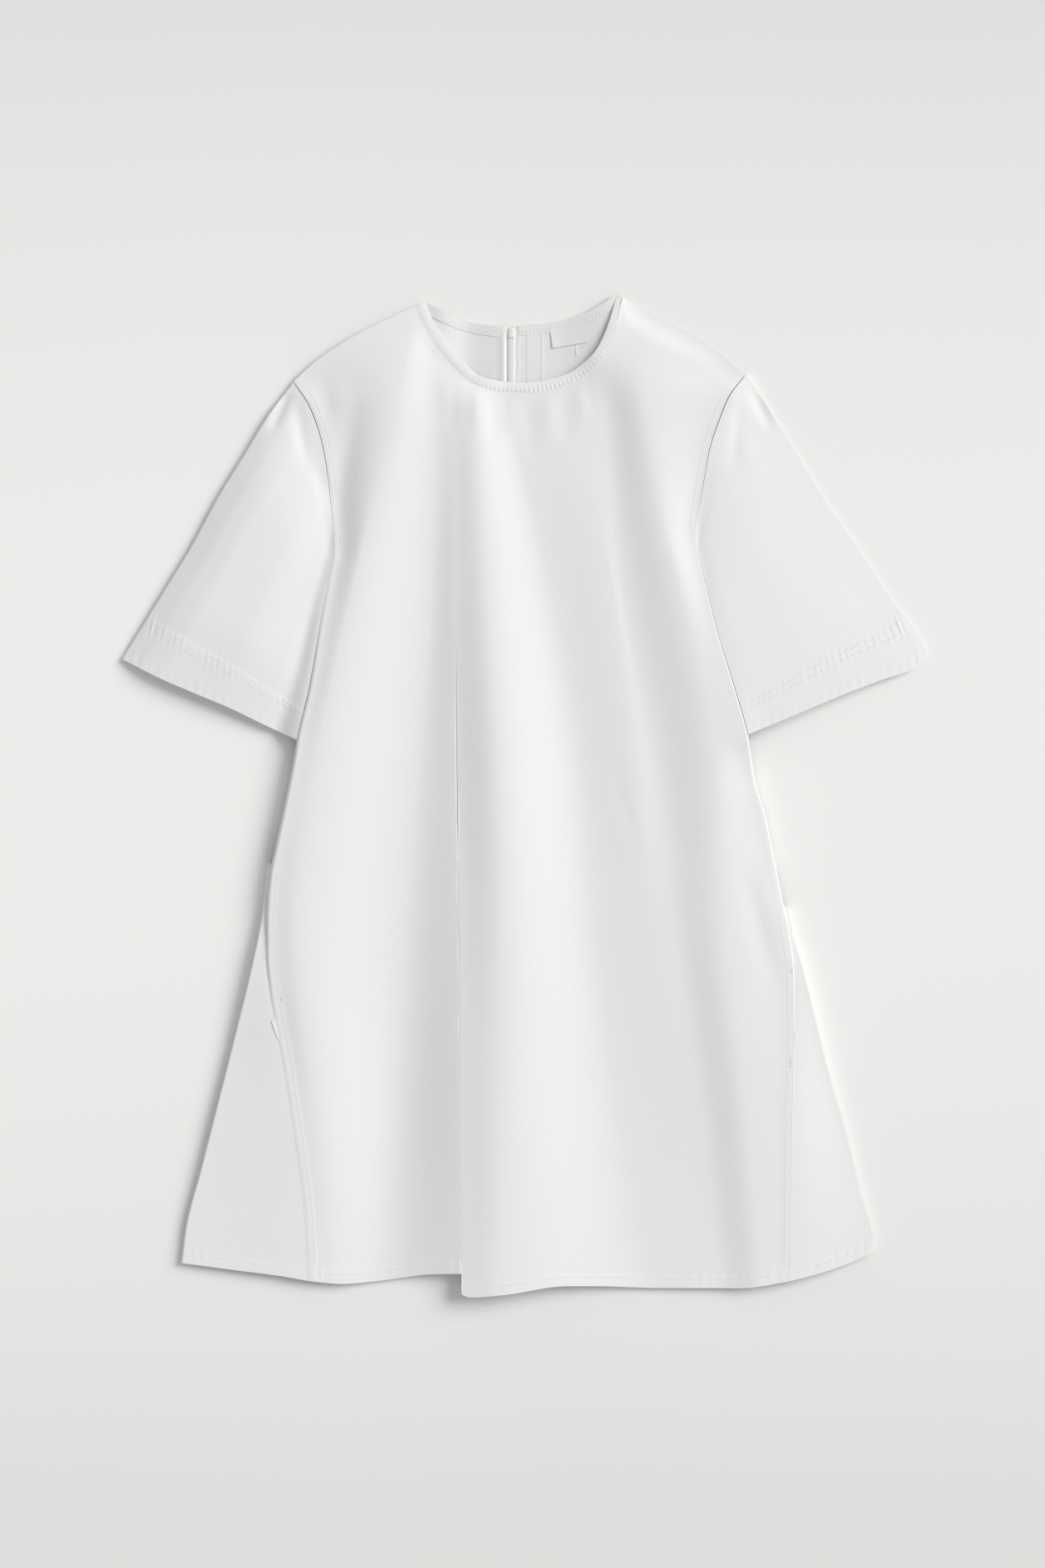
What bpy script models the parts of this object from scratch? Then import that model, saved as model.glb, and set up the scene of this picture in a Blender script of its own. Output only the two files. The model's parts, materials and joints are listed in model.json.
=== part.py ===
"""Denim mini dress laid flat on its back: an A-line body with set-in short sleeves.

Sizes are millimetres until a mesh is written, which is in metres. The dress lies in the XY plane,
X to its right-hand side in view, Y towards the shoulders, Z up. A drop is a distance down from the
higher shoulder point. The underside is flat at Z = 0, and the origin is the middle of the whole.
"""
import math

import bmesh
import bpy
import numpy as np
from mathutils import Vector

MM = 0.001
HALF_LENGTH = 435.28
WALL = 1.2
TRIM_WALL = 0.8
LABEL_WALL = 0.4
TAPE_WALL = 0.5
SEAM_GAP = 0.5
SLEEVE_GAP = 0.9
REST_GAP = 0.3
BACK_INSET = 1.7
BINDING_WIDTH = 9.0
CENTRE_BACK = -11.4
UNDERARM_LEFT = 220.0
UNDERARM_RIGHT = 212.0
SHOULDER_ROLL = 24.0
EDGE_ROLL = 7.0
UNDER_CHAMFER = 1.5
GORE_LEAST_WIDTH = 3.0
GORE_TOP_LEFT = 495.0
GORE_TOP_RIGHT = 533.0
SHOULDER_HEIGHT = 4.2

# Fold where the right of the front laps over the left, from FOLD_START down
FOLD_START = 300.0
FOLD_CLOSED = 440.0
FOLD_RADIUS = 1.7
FOLD_LAP = 14.0

DENIM = (0.83, 0.83, 0.82)
DENIM_INSIDE = (0.80, 0.80, 0.79)
TAPE = (0.86, 0.86, 0.85)
LABEL_WHITE = (0.90, 0.90, 0.89)

# Shoulder seams, columns: x, drop
SHOULDER_LEFT = ((-200.6, 76), (-180.3, 57.7), (-149.1, 37.4), (-112.3, 19), (-86.5, 7))
SHOULDER_RIGHT = ((80.6, 0), (99, 11), (121, 22.8), (154, 39.4), (179, 59.2), (192, 70))
# Finished neck edges, columns: x, drop
NECK_FRONT = ((-86.5, 7), (-79.5, 23), (-64, 47), (-51.6, 61), (-37.5, 72), (-16.5, 76.6), (1, 77.4),
              (18.4, 75.3), (36, 70), (50, 61.3), (62.2, 49), (71, 31.4), (80.6, 0))
NECK_BACK = ((-86.5, 7), (-69, 16), (-51.5, 22.8), (-34, 26.7), (-18.3, 28.1), (1, 26.8),
             (27.2, 23.7), (50, 17.6), (67.5, 8.9), (80.6, 0))
# Sides of the front panel, columns: drop, x. Armhole seam, then body edge, then gore seam
BORDER_LEFT = ((76, -200.6), (99, -186), (126, -176.6), (156, -171), (190, -167.5), (220, -165),
               (250, -170), (281, -176), (342, -186.5), (386, -197), (421, -204), (451, -210.2),
               (481, -216.6), (507, -221.6), (545, -224.2), (575, -224), (605, -221), (631, -216.5),
               (683, -207), (757, -196), (794, -191.5), (857, -187.8))
BORDER_RIGHT = ((70, 192), (89, 177.5), (109, 169), (135, 160.6), (162, 155.7), (192, 150.8),
                (212, 149.1), (261, 159), (298, 168.2), (344, 182.3), (383, 193.3), (423, 200.4),
                (451, 208.7), (478, 214.5), (518, 222.2), (552, 229), (589, 234), (640, 234.5),
                (760, 232.5), (856, 232))
# Outer edges of the side gores, columns: drop, x
OUTLINE_LEFT = ((451, -210.6), (481, -218), (507, -224), (546, -229.7), (589, -238.6),
                (631, -248.9), (683, -262), (764, -282.8), (809, -294.6), (842, -299))
OUTLINE_RIGHT = ((478, 214.7), (518, 223.5), (552, 231), (580, 239.7), (614, 248.5), (662, 260.3),
                 (729, 279.3), (779, 292), (825, 303.2), (833, 302.4))
# Height of the front panel's side borders, columns: drop, height
RISE_LEFT = ((76, 3), (95, 6), (195, 6), (235, 1.6), (482, 1.6), (512, 7.5), (560, 10), (610, 11),
             (700, 12), (800, 9), (857, 7))
RISE_RIGHT = ((70, 3), (90, 6.5), (190, 7), (228, 1.6), (520, 1.6), (550, 7), (600, 10), (700, 11),
              (800, 9), (857, 7))
# How far the roll beside a border stands above it, columns: drop, height
ROLL_LEFT = ((76, 1), (200, 1.5), (240, 7), (460, 8), (520, 4), (580, 2), (857, 1.5))
ROLL_RIGHT = ((70, 1), (190, 1.5), (230, 9), (480, 9), (552, 4), (610, 2), (857, 1.5))
# How far a gore reaches on the underside, columns: drop, width
UNDER_WIDTH = ((455, 0), (490, 6), (520, 14), (600, 34), (700, 62), (857, 108))
# Hem of the front, columns: x, drop, on each side of the lapped fold
HEM_LEFT = ((-299, 842), (-245, 849), (-209, 853.6), (-187, 857.5), (-157, 860.2), (-127, 858),
            (-81, 851.6), (-41, 850))
HEM_RIGHT = ((-57, 867), (-48, 870.8), (-18, 868.5), (35, 861.5), (62, 862), (116, 864),
             (182, 864), (225, 858.5), (256, 851), (283, 842), (303, 833))
HEM_BACK = ((-299, 839), (-245, 845), (-186, 852), (-60, 846), (0, 856), (110, 858), (182, 858),
            (225, 853), (303, 828))

# Folds of the front, each a line down the panel, columns: drop, x, height
CREST_LEFT = ((10, -95, 5), (100, -112, 15), (250, -147, 16), (400, -179, 17), (550, -199, 17),
              (700, -184, 15), (857, -170, 10))
VALLEY_LEFT = ((40, -79, 6), (100, -76, 9.5), (250, -81, 7), (400, -92, 5.5), (550, -104, 5),
               (700, -114, 5), (857, -132, 4.5))
LAP_LINE = ((62, -66, 6.5), (100, -62, 10.5), (250, -60, 10), (400, -59, 9), (550, -57, 8.5),
            (700, -56, 8), (857, -55, 5.5))
CREST_MIDDLE = ((76, -42, 6.5), (100, -43, 11.5), (250, -34, 14.5), (400, -24, 20), (550, -19, 24),
                (700, -23, 20), (868, -27, 15))
VALLEY_MIDDLE = ((85, -14, 6), (100, -12, 6), (250, 21, 6), (400, 47, 7), (550, 61, 9),
                 (700, 80, 7), (864, 109, 4.5))
CREST_SMALL = ((80, 36, 6.2), (100, 42, 6.5), (250, 75, 9.5), (400, 96, 10), (550, 114, 11),
               (700, 132, 8), (864, 147, 5))
VALLEY_RIGHT = ((55, 64, 6), (100, 69, 5.5), (250, 84, 8), (400, 111, 8.5), (550, 130, 11),
                (700, 154, 9), (864, 172, 5.5))
CREST_RIGHT = ((6, 89, 5), (100, 105, 14.5), (250, 136, 18), (400, 165, 18), (550, 171, 18),
               (700, 190, 16), (860, 205, 10))

# Columns between one fold line and the next, from the left border to the right one
FRONT_COLUMNS = (3, 4, 4, 3, 9, 2, 5, 4, 3, 4, 4, 3)
FRONT_ROWS = 31
GORE_TOP_COLUMNS = 8
GORE_UNDER_COLUMNS = 4
GORE_ROWS = 18
SLEEVE_TOP_COLUMNS = 14
SLEEVE_UNDER_COLUMNS = 6
SLEEVE_UNDER_START = 0.012
SLEEVE_ROWS = 14
BACK_COLUMNS = 9
BACK_ROWS = 20

# Sleeve outlines, columns: x, drop
SLEEVE_EDGE_LEFT = ((-201.5, 76), (-222.7, 104), (-243, 137), (-267, 176), (-291.4, 221),
                    (-309, 249.5), (-332.4, 287.5), (-350.6, 317))
SLEEVE_EDGE_RIGHT = ((192.9, 70), (203.8, 85.6), (220.4, 112), (243.6, 149), (263.5, 182),
                     (286.7, 215), (318.5, 264), (345, 300), (350.6, 312))
CUFF_LEFT = ((-350.6, 317), (-317, 334), (-287, 347), (-256, 360), (-226, 374.6), (-198, 387.5))
CUFF_RIGHT = ((350.6, 312), (340.4, 324.5), (308, 336.5), (276.2, 348.7), (235, 366), (193.9, 383))
# Sleeve height from outer edge to underarm seam, rows: share down, then height at each station
SLEEVE_STATIONS = (0.0, 0.05, 0.25, 0.5, 0.8, 1.0)
SLEEVE_RISE_LEFT = ((0.0, 2.2, 3.6, 6, 6, 6, 2.8), (0.35, 2.2, 8, 13, 17, 10, 2.8),
                    (0.7, 2.2, 9, 17, 20, 9, 2.8), (1.0, 2.2, 8, 13, 15, 8, 2.8))
SLEEVE_RISE_RIGHT = ((0.0, 2.2, 3.6, 6, 6.5, 7, 2.8), (0.35, 2.2, 7, 10, 13, 14, 2.8),
                     (0.7, 2.2, 7, 10, 14, 17, 2.8), (1.0, 2.2, 6, 9, 12, 14, 2.8))

ZIP_LENGTH = 400.0
ZIP_TOP = 31.0
CHAIN_WIDTH = 7.6
CHAIN_HEIGHT = 1.2
TAPE_WIDTH = 12.5
FACING_RIGHT = 17.0
SLIDER = (6.4, 9.0, 1.4)
# Label and size tab, columns: centre x, top drop, width, length, tilt in degrees
LABEL = (38.5, 27.5, 31.0, 17.0, 9.0)
SIZE_TAB = (50.5, 33.0, 12.5, 20.0, 3.0)
# Pocket bags, columns: side, drop of the opening's top and bottom, depth into the dress
POCKETS = (("left", 612, 690, 100), ("right", 588, 669, 104))
POCKET_BAG_DROP = 78.0


def between_slopes(a, b):
    """Slope of a curve where two slopes meet, flat at a crest or a valley."""
    return 2 * a * b / (a + b) if a * b > 0 else 0.0


def along(table, key, column=1):
    """Smooth value of a table's column at a key, with its first column as the key."""
    keys = [row[0] for row in table]
    values = [row[column] for row in table]
    if key <= keys[0]:
        return values[0]
    if key >= keys[-1]:
        return values[-1]
    i = int(np.searchsorted(keys, key)) - 1
    span = keys[i + 1] - keys[i]
    step = values[i + 1] - values[i]
    before = (values[i] - values[i - 1]) / (keys[i] - keys[i - 1]) if i else step / span
    last = i + 2 >= len(keys)
    after = step / span if last else (values[i + 2] - values[i + 1]) / (keys[i + 2] - keys[i + 1])
    start = between_slopes(before, step / span) * span
    end = between_slopes(step / span, after) * span
    f = (key - keys[i]) / span
    return (values[i] + start * f + (3 * step - 2 * start - end) * f ** 2
            + (start + end - 2 * step) * f ** 3)


def ease(value):
    """Soft step from 0 to 1."""
    value = min(max(value, 0.0), 1.0)
    return value * value * (3 - 2 * value)


def mix(a, b, f):
    return a + (b - a) * f


def path_points(points, count):
    """Evenly spaced points along a smooth curve through the given ones."""
    lengths = [0.0]
    for a, b in zip(points, points[1:]):
        lengths.append(lengths[-1] + math.dist(a, b))
    tables = [[(s, p[axis]) for s, p in zip(lengths, points)] for axis in (0, 1)]
    return [tuple(along(t, lengths[-1] * i / (count - 1)) for t in tables) for i in range(count)]


def offset_path(points, distance):
    """The path moved sideways, to the right of its direction when drops point down."""
    moved = []
    for i, (x, drop) in enumerate(points):
        a = points[max(i - 1, 0)]
        b = points[min(i + 1, len(points) - 1)]
        length = math.dist(a, b)
        moved.append((x - distance * (b[1] - a[1]) / length, drop + distance * (b[0] - a[0]) / length))
    return moved


NECK_LINE = path_points(NECK_FRONT, 49)
NECK_SEAM = offset_path(NECK_LINE, BINDING_WIDTH)
BACK_LINE = path_points(NECK_BACK, 41)
BACK_BAND = offset_path(BACK_LINE, BINDING_WIDTH)


def front_top(x):
    """Drop of the front panel's top edge: shoulder, neck seam, shoulder."""
    inner = [p for p in NECK_SEAM if p[1] > 11 or abs(p[0]) < 60]
    outline = [p for p in SHOULDER_LEFT if p[0] < inner[0][0] - 2]
    outline += inner + [p for p in SHOULDER_RIGHT if p[0] > inner[-1][0] + 2]
    return float(np.interp(x, [p[0] for p in outline], [p[1] for p in outline]))


def back_top(x):
    """Drop of the back panels' top edge."""
    outline = list(SHOULDER_LEFT[:-1]) + BACK_LINE + list(SHOULDER_RIGHT[1:])
    return float(np.interp(x, [p[0] for p in outline], [p[1] for p in outline]))


def lap_share(drop):
    """How far the lapped fold has closed, from 0 to 1."""
    return ease((drop - FOLD_START) / (FOLD_CLOSED - FOLD_START))


def lap_shape(drop):
    """Turn angle, arc length and straight run of the lapped fold's section."""
    share = lap_share(drop)
    run = 0.6 + (FOLD_LAP - 0.6) * ease((share - 0.55) / 0.45)
    return max(math.pi * share, 0.02), math.pi * FOLD_RADIUS, run


def lap_point(drop, f):
    """Place in the lapped fold's section, from its lower end at f = 0 to its upper end at 1."""
    turn, arc, run = lap_shape(drop)
    radius = arc / turn
    if f < 0.4:
        angle = turn * f / 0.4
        return radius * math.sin(angle), radius * (1 - math.cos(angle))
    corner = (radius * math.sin(turn), radius * (1 - math.cos(turn)))
    if f <= 0.6:
        s = run * (f - 0.4) / 0.2
        return corner[0] + s * math.cos(turn), corner[1] + s * math.sin(turn)
    angle = turn * (1 - f) / 0.4
    x = corner[0] * 2 + run * math.cos(turn) - radius * math.sin(angle)
    return x, corner[1] * 2 + run * math.sin(turn) - radius * (1 - math.cos(angle))


def lap_start(drop):
    """Place of the fold's lower end, set so that its visible edge follows the lap line."""
    _, arc, run = lap_shape(drop)
    x = along(LAP_LINE, drop) + mix(-arc, run + FOLD_RADIUS, lap_share(drop))
    return x, along(LAP_LINE, drop, 2)


def lap_end(drop):
    x, height = lap_start(drop)
    end = lap_point(drop, 1.0)
    return x + end[0], height + end[1]


def border(side, drop):
    """Place of a side border of the front panel."""
    table, rise = (BORDER_LEFT, RISE_LEFT) if side < 0 else (BORDER_RIGHT, RISE_RIGHT)
    return along(table, drop), along(rise, drop) + WALL


def roll(side, drop):
    """Place of the top of the roll beside a border."""
    x, height = border(side, drop)
    return x - side * EDGE_ROLL, height + along(ROLL_LEFT if side < 0 else ROLL_RIGHT, drop)


def line(table):
    return lambda drop: (along(table, drop), along(table, drop, 2))


FRONT_LINES = (lambda d: border(-1, d), lambda d: roll(-1, d), line(CREST_LEFT), line(VALLEY_LEFT),
               lap_start, lap_end, line(CREST_MIDDLE), line(VALLEY_MIDDLE), line(CREST_SMALL),
               line(VALLEY_RIGHT), line(CREST_RIGHT), lambda d: roll(1, d), lambda d: border(1, d))
LAP_SEGMENT = 4
FRONT_LINE_TOPS = (76, 72, 10, 40, 62, 62, 76, 85, 80, 55, 6, 66, 70)
HEM_GUESS = 857.0


def front_station(column):
    """Fold segment and share across it for a column number."""
    for segment, count in enumerate(FRONT_COLUMNS):
        if column <= count:
            return segment, column / count
        column -= count
    raise ValueError("the front has no such column")


def front_across(segment, f, drop):
    """x and height of the front at a share of one fold segment."""
    x0, z0 = FRONT_LINES[segment](drop)
    if segment == LAP_SEGMENT:
        x, z = lap_point(drop, f)
        return x0 + x, z0 + z
    x1, z1 = FRONT_LINES[segment + 1](drop)
    if segment in (0, len(FRONT_COLUMNS) - 1):
        angle = math.pi / 2 * (f if segment == 0 else 1 - f)
        low, high = (z0, z1) if segment == 0 else (z1, z0)
        near, far = (x0, x1) if segment == 0 else (x1, x0)
        return mix(near, far, 1 - math.cos(angle)), mix(low, high, math.sin(angle))
    return mix(x0, x1, f), mix(z0, z1, ease(f))


def shoulder_drop_in(x, drop, height):
    """Height lowered towards a shoulder seam."""
    beside = ease((abs(x + 3) - 84) / 14)
    near = 1 - ease((drop - front_top(x)) / SHOULDER_ROLL)
    return mix(height, min(height, SHOULDER_HEIGHT), beside * near)


def front_place(column, share):
    """Outer face of the front panel at a column number and a share of the way down."""
    segment, f = front_station(column)
    near_top = mix(FRONT_LINE_TOPS[segment], FRONT_LINE_TOPS[segment + 1], f)
    top = front_top(front_across(segment, f, near_top)[0])
    if segment == LAP_SEGMENT:
        hem = mix(along(HEM_LEFT, lap_start(HEM_GUESS)[0]), along(HEM_RIGHT, lap_end(HEM_GUESS)[0]), f)
    else:
        x_hem = front_across(segment, f, HEM_GUESS)[0]
        hem = along(HEM_LEFT if segment < LAP_SEGMENT else HEM_RIGHT, x_hem)
    drop = mix(top, hem, share)
    x, height = front_across(segment, f, drop)
    return x, drop, shoulder_drop_in(x, drop, height)


def front_height(x, drop):
    """Height of the front panel's outer face over a place."""
    for segment in range(len(FRONT_COLUMNS)):
        if segment == LAP_SEGMENT:
            continue
        x0, z0 = FRONT_LINES[segment](drop)
        x1, z1 = FRONT_LINES[segment + 1](drop)
        if x0 <= x <= x1:
            return shoulder_drop_in(x, drop, mix(z0, z1, ease((x - x0) / (x1 - x0))))
    return shoulder_drop_in(x, drop, lap_start(drop)[1])


def gore_edge(side, drop):
    """Outer edge of a side gore, kept wide enough at its top for the wall to turn."""
    outline = OUTLINE_LEFT if side < 0 else OUTLINE_RIGHT
    least = border(side, drop)[0] * side + SEAM_GAP + GORE_LEAST_WIDTH
    return side * max(along(outline, drop) * side, least)


def gore_place(side, column, share):
    """Outer face of a side gore: seam, rounded edge, then the flat underside to the back seam."""
    outline = OUTLINE_LEFT if side < 0 else OUTLINE_RIGHT
    start = GORE_TOP_LEFT if side < 0 else GORE_TOP_RIGHT
    hem_table = HEM_LEFT if side < 0 else HEM_RIGHT
    top_share = min(column / GORE_TOP_COLUMNS, 1.0)
    under_share = max((column - GORE_TOP_COLUMNS) / GORE_UNDER_COLUMNS, 0.0)
    hem_x = mix(border(side, HEM_GUESS)[0], along(outline, HEM_GUESS), top_share)
    drop = mix(start, along(hem_table, hem_x), share)
    seam_x, seam_height = border(side, drop)
    seam_x += side * SEAM_GAP
    edge_x = gore_edge(side, drop)
    if under_share > 0:
        under = along(UNDER_WIDTH, drop + (0 if side < 0 else -34))
        reach = mix(UNDER_CHAMFER, max(under, UNDER_CHAMFER + 1.0), under_share)
        return edge_x - side * reach, drop, 0.0
    angle = math.pi / 2 * top_share
    power = 2 / 2.5
    x = mix(seam_x, edge_x, math.sin(angle) ** power)
    return x, drop, mix(UNDER_CHAMFER, seam_height, math.cos(angle) ** power)


def back_border(side, drop):
    """Side border of the back panels, inside the gores' undersides."""
    start = 0 if side < 0 else -34
    under = along(UNDER_WIDTH, drop + start)
    if under <= 0:
        return border(side, drop)[0] - side * BACK_INSET
    return gore_edge(side, drop) - side * (under + BACK_INSET)


def back_place(side, across, share):
    """Inner face of a back panel, from the centre back outwards."""
    inner = CENTRE_BACK + side * REST_GAP
    x_top = mix(inner, border(side, 70)[0], across)
    top = back_top(x_top)
    x_hem = mix(inner, back_border(side, HEM_GUESS), across)
    drop = mix(top, along(HEM_BACK, x_hem), share)
    return mix(inner, back_border(side, drop), across), drop, WALL


def sleeve_plan(side, p, q):
    """Plan place on a sleeve: p from outer edge to underarm seam, q from armhole to cuff."""
    edge, cuff = (SLEEVE_EDGE_LEFT, CUFF_LEFT) if side < 0 else (SLEEVE_EDGE_RIGHT, CUFF_RIGHT)
    low = UNDERARM_LEFT if side < 0 else UNDERARM_RIGHT

    def armhole(f):
        drop = mix(edge[0][1], low, f)
        return Vector((border(side, drop)[0] + side * SLEEVE_GAP, drop))

    def underarm(f):
        drop = mix(low, cuff[-1][1], f)
        return Vector((border(side, drop)[0] + side * SLEEVE_GAP, drop))

    def on_path(points, f):
        lengths = [0.0]
        for a, b in zip(points, points[1:]):
            lengths.append(lengths[-1] + math.dist(a, b))
        at = f * lengths[-1]
        return Vector([along([(s, pt[k]) for s, pt in zip(lengths, points)], at) for k in (0, 1)])

    corners = (armhole(0) * (1 - p) * (1 - q) + armhole(1) * p * (1 - q)
               + on_path(cuff, 0) * (1 - p) * q + underarm(1) * p * q)
    return (armhole(p) * (1 - q) + on_path(cuff, p) * q + on_path(edge, q) * (1 - p)
            + underarm(q) * p - corners)


def sleeve_place(side, column, share):
    """Outer face of a sleeve: underarm seam, over the top, outer edge, then the underside."""
    rise = SLEEVE_RISE_LEFT if side < 0 else SLEEVE_RISE_RIGHT
    if column <= SLEEVE_TOP_COLUMNS:
        p = 1 - column / SLEEVE_TOP_COLUMNS
        p = mix(p, p * p, 0.35)
        heights = [(station, along(rise, share, i + 1)) for i, station in enumerate(SLEEVE_STATIONS)]
        x, drop = sleeve_plan(side, p, share)
        return x, drop, along(heights, p)
    p = (column - SLEEVE_TOP_COLUMNS) / SLEEVE_UNDER_COLUMNS
    p = mix(SLEEVE_UNDER_START, 1.0, (p * SLEEVE_UNDER_COLUMNS - 1) / (SLEEVE_UNDER_COLUMNS - 1))
    x, drop = sleeve_plan(side, p, share)
    return x, drop, 0.0


def band_place(seam, edge, low, high, place_height, u, v):
    """Strip between two paths of equal counts, with a slightly lower inner edge."""
    at = mix(low, high, u) * (len(seam) - 1)
    i = min(int(at), len(seam) - 2)
    outer = [mix(seam[i][k], seam[i + 1][k], at - i) for k in (0, 1)]
    inner = [mix(edge[i][k], edge[i + 1][k], at - i) for k in (0, 1)]
    keep = 1 - SEAM_GAP / BINDING_WIDTH
    x = mix(inner[0], outer[0], v * keep)
    drop = mix(inner[1], outer[1], v * keep)
    return x, drop, place_height(outer[0], outer[1], v)


def to_metres(place):
    x, drop, height = place
    return Vector((x * MM, (HALF_LENGTH - drop) * MM, height * MM))


def material(name, colour, roughness):
    """Principled material of one cloth or trim."""
    made = bpy.data.materials.new(name)
    made.use_nodes = True
    shader = made.node_tree.nodes["Principled BSDF"]
    shader.inputs["Base Color"].default_value = (*colour, 1.0)
    shader.inputs["Roughness"].default_value = roughness
    shader.inputs["Metallic"].default_value = 0.0
    return made


def panel(name, columns, rows, place, wall, colour, roughness=0.9):
    """Cloth wall on a grid of columns and rows, its outer face through place(column, share)."""
    mesh = bpy.data.meshes.new(name)
    shape = bmesh.new()
    bmesh.ops.create_grid(shape, x_segments=columns, y_segments=rows, size=1.0)
    for vertex in shape.verts:
        column = round((vertex.co.x + 1) / 2 * columns)
        share = round((1 - vertex.co.y) / 2 * rows) / rows
        vertex.co = to_metres(place(column, share))
    shape.normal_update()
    shape.to_mesh(mesh)
    shape.free()
    mesh.shade_smooth()
    piece = bpy.data.objects.new(name, mesh)
    bpy.context.collection.objects.link(piece)
    mesh.materials.append(material(name, colour, roughness))
    thick = piece.modifiers.new("Wall", "SOLIDIFY")
    thick.thickness = wall * MM
    thick.offset = -1.0
    return piece


def flip(piece):
    """Turn a sheet over before its wall is added."""
    piece.data.flip_normals()


def block(name, centre, size, tilt, colour, roughness=0.8, bevel=0.0):
    """Thin flat piece, centred at x, drop and height."""
    mesh = bpy.data.meshes.new(name)
    shape = bmesh.new()
    bmesh.ops.create_cube(shape, size=1.0)
    for vertex in shape.verts:
        vertex.co = Vector([vertex.co[axis] * size[axis] * MM for axis in range(3)])
    if bevel:
        bmesh.ops.bevel(shape, geom=shape.edges[:], offset=bevel * MM, segments=1, profile=0.5,
                        affect="EDGES", material=-1)
    shape.to_mesh(mesh)
    shape.free()
    piece = bpy.data.objects.new(name, mesh)
    piece.location = to_metres(centre)
    piece.rotation_euler.z = math.radians(tilt)
    bpy.context.collection.objects.link(piece)
    mesh.materials.append(material(name, colour, roughness))
    return piece


def make_body():
    """Front panel, side gores and back panels."""
    count = sum(FRONT_COLUMNS)
    panel("front_panel", count, FRONT_ROWS, front_place, WALL, DENIM)
    for side, word in ((-1, "left"), (1, "right")):
        gore = panel(f"side_gore_{word}", GORE_TOP_COLUMNS + GORE_UNDER_COLUMNS, GORE_ROWS,
                     lambda c, t: gore_place(side, c, t), WALL, DENIM)
        if side < 0:
            flip(gore)
        back = panel(f"back_{word}", BACK_COLUMNS, BACK_ROWS,
                     lambda c, t: back_place(side, c / BACK_COLUMNS, t), WALL, DENIM_INSIDE)
        if side < 0:
            flip(back)


def make_sleeves():
    """Short set-in sleeves, each one piece joined under the arm."""
    for side, word in ((-1, "left"), (1, "right")):
        sleeve = panel(f"sleeve_{word}", SLEEVE_TOP_COLUMNS + SLEEVE_UNDER_COLUMNS, SLEEVE_ROWS,
                       lambda c, t: sleeve_place(side, c, t), WALL, DENIM)
        if side < 0:
            flip(sleeve)


def make_neck():
    """Bindings of the front and back neck, and the strip that faces the centre back."""
    def front_rise(x, drop, v):
        return front_height(x, drop) - 0.4 * (1 - v) ** 2

    panel("neck_binding_front", 34, 3,
          lambda c, t: band_place(NECK_SEAM, NECK_LINE, 0.03, 0.97, front_rise, c / 34, t),
          WALL, DENIM)

    def back_rise(x, drop, v):
        return WALL + REST_GAP + TRIM_WALL

    middle = next(i for i, p in enumerate(BACK_LINE) if p[0] > CENTRE_BACK) / (len(BACK_LINE) - 1)
    for word, low, high in (("left", 0.0, middle - 0.05), ("right", middle + 0.03, 1.0)):
        panel(f"neck_binding_back_{word}", 10, 2,
              lambda c, t: band_place(BACK_BAND, BACK_LINE, low, high, back_rise, c / 10, t),
              TRIM_WALL, DENIM_INSIDE)


def make_zip():
    """Concealed zip at the centre back, closed, seen from its inner side."""
    layer = WALL + REST_GAP
    middle = ZIP_TOP + ZIP_LENGTH / 2
    for side, word in ((-1, "left"), (1, "right")):
        block(f"zip_tape_{word}",
              (CENTRE_BACK + side * (REST_GAP + TAPE_WIDTH / 2), middle + BINDING_WIDTH, layer + TAPE_WALL / 2),
              (TAPE_WIDTH, ZIP_LENGTH - BINDING_WIDTH, TAPE_WALL), 0, TAPE)
    chain_floor = layer + TAPE_WALL + REST_GAP
    block("zip_chain", (CENTRE_BACK, middle, chain_floor + CHAIN_HEIGHT / 2),
          (CHAIN_WIDTH, ZIP_LENGTH, CHAIN_HEIGHT), 0, TAPE, 0.5, 0.3)
    block("zip_slider",
          (CENTRE_BACK, ZIP_TOP + SLIDER[1] / 2 + 1, chain_floor + CHAIN_HEIGHT + REST_GAP + SLIDER[2] / 2),
          SLIDER, 0, TAPE, 0.5, 0.3)
    left = CENTRE_BACK + REST_GAP * 2 + TAPE_WIDTH
    block("back_facing_strip", ((left + FACING_RIGHT) / 2, middle + BINDING_WIDTH, layer + TRIM_WALL / 2),
          (FACING_RIGHT - left, ZIP_LENGTH - BINDING_WIDTH, TRIM_WALL), 0, DENIM_INSIDE)


def make_labels():
    """Bare woven label and size tab, sewn to the back neck binding."""
    label_height = WALL + REST_GAP * 2 + TRIM_WALL + LABEL_WALL / 2
    tab_height = label_height - LABEL_WALL - REST_GAP
    for name, (x, top, width, length, tilt), height in (("label", LABEL, label_height),
                                                        ("size_tab", SIZE_TAB, tab_height)):
        block(name, (x, top + length / 2, height), (width, length, LABEL_WALL), tilt, LABEL_WHITE, 0.6)


def make_pockets():
    """Plain flat bags inside the side pockets."""
    for word, top, bottom, depth in POCKETS:
        side = -1 if word == "left" else 1
        length = bottom - top + POCKET_BAG_DROP
        x = border(side, (top + bottom) / 2)[0] - side * (depth / 2 + 12)
        block(f"pocket_bag_{word}", (x, top - 10 + length / 2, WALL + REST_GAP + 0.6),
              (depth, length, 1.2), 0, TAPE)


def main():
    for old in list(bpy.data.objects):
        bpy.data.objects.remove(old)
    make_body()
    make_sleeves()
    make_neck()
    make_zip()
    make_labels()
    make_pockets()


main()
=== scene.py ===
"""White denim mini dress laid flat: cloth shells, seams, sewing and a plain studio, as an add-on.

Lengths in the tables are millimetres, as a pattern cutter gives them, and become metres in the
meshes. A drop is a distance down from the higher shoulder point. X runs to the right-hand side in
view and Z up from the floor.
"""
import json
import math

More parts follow.
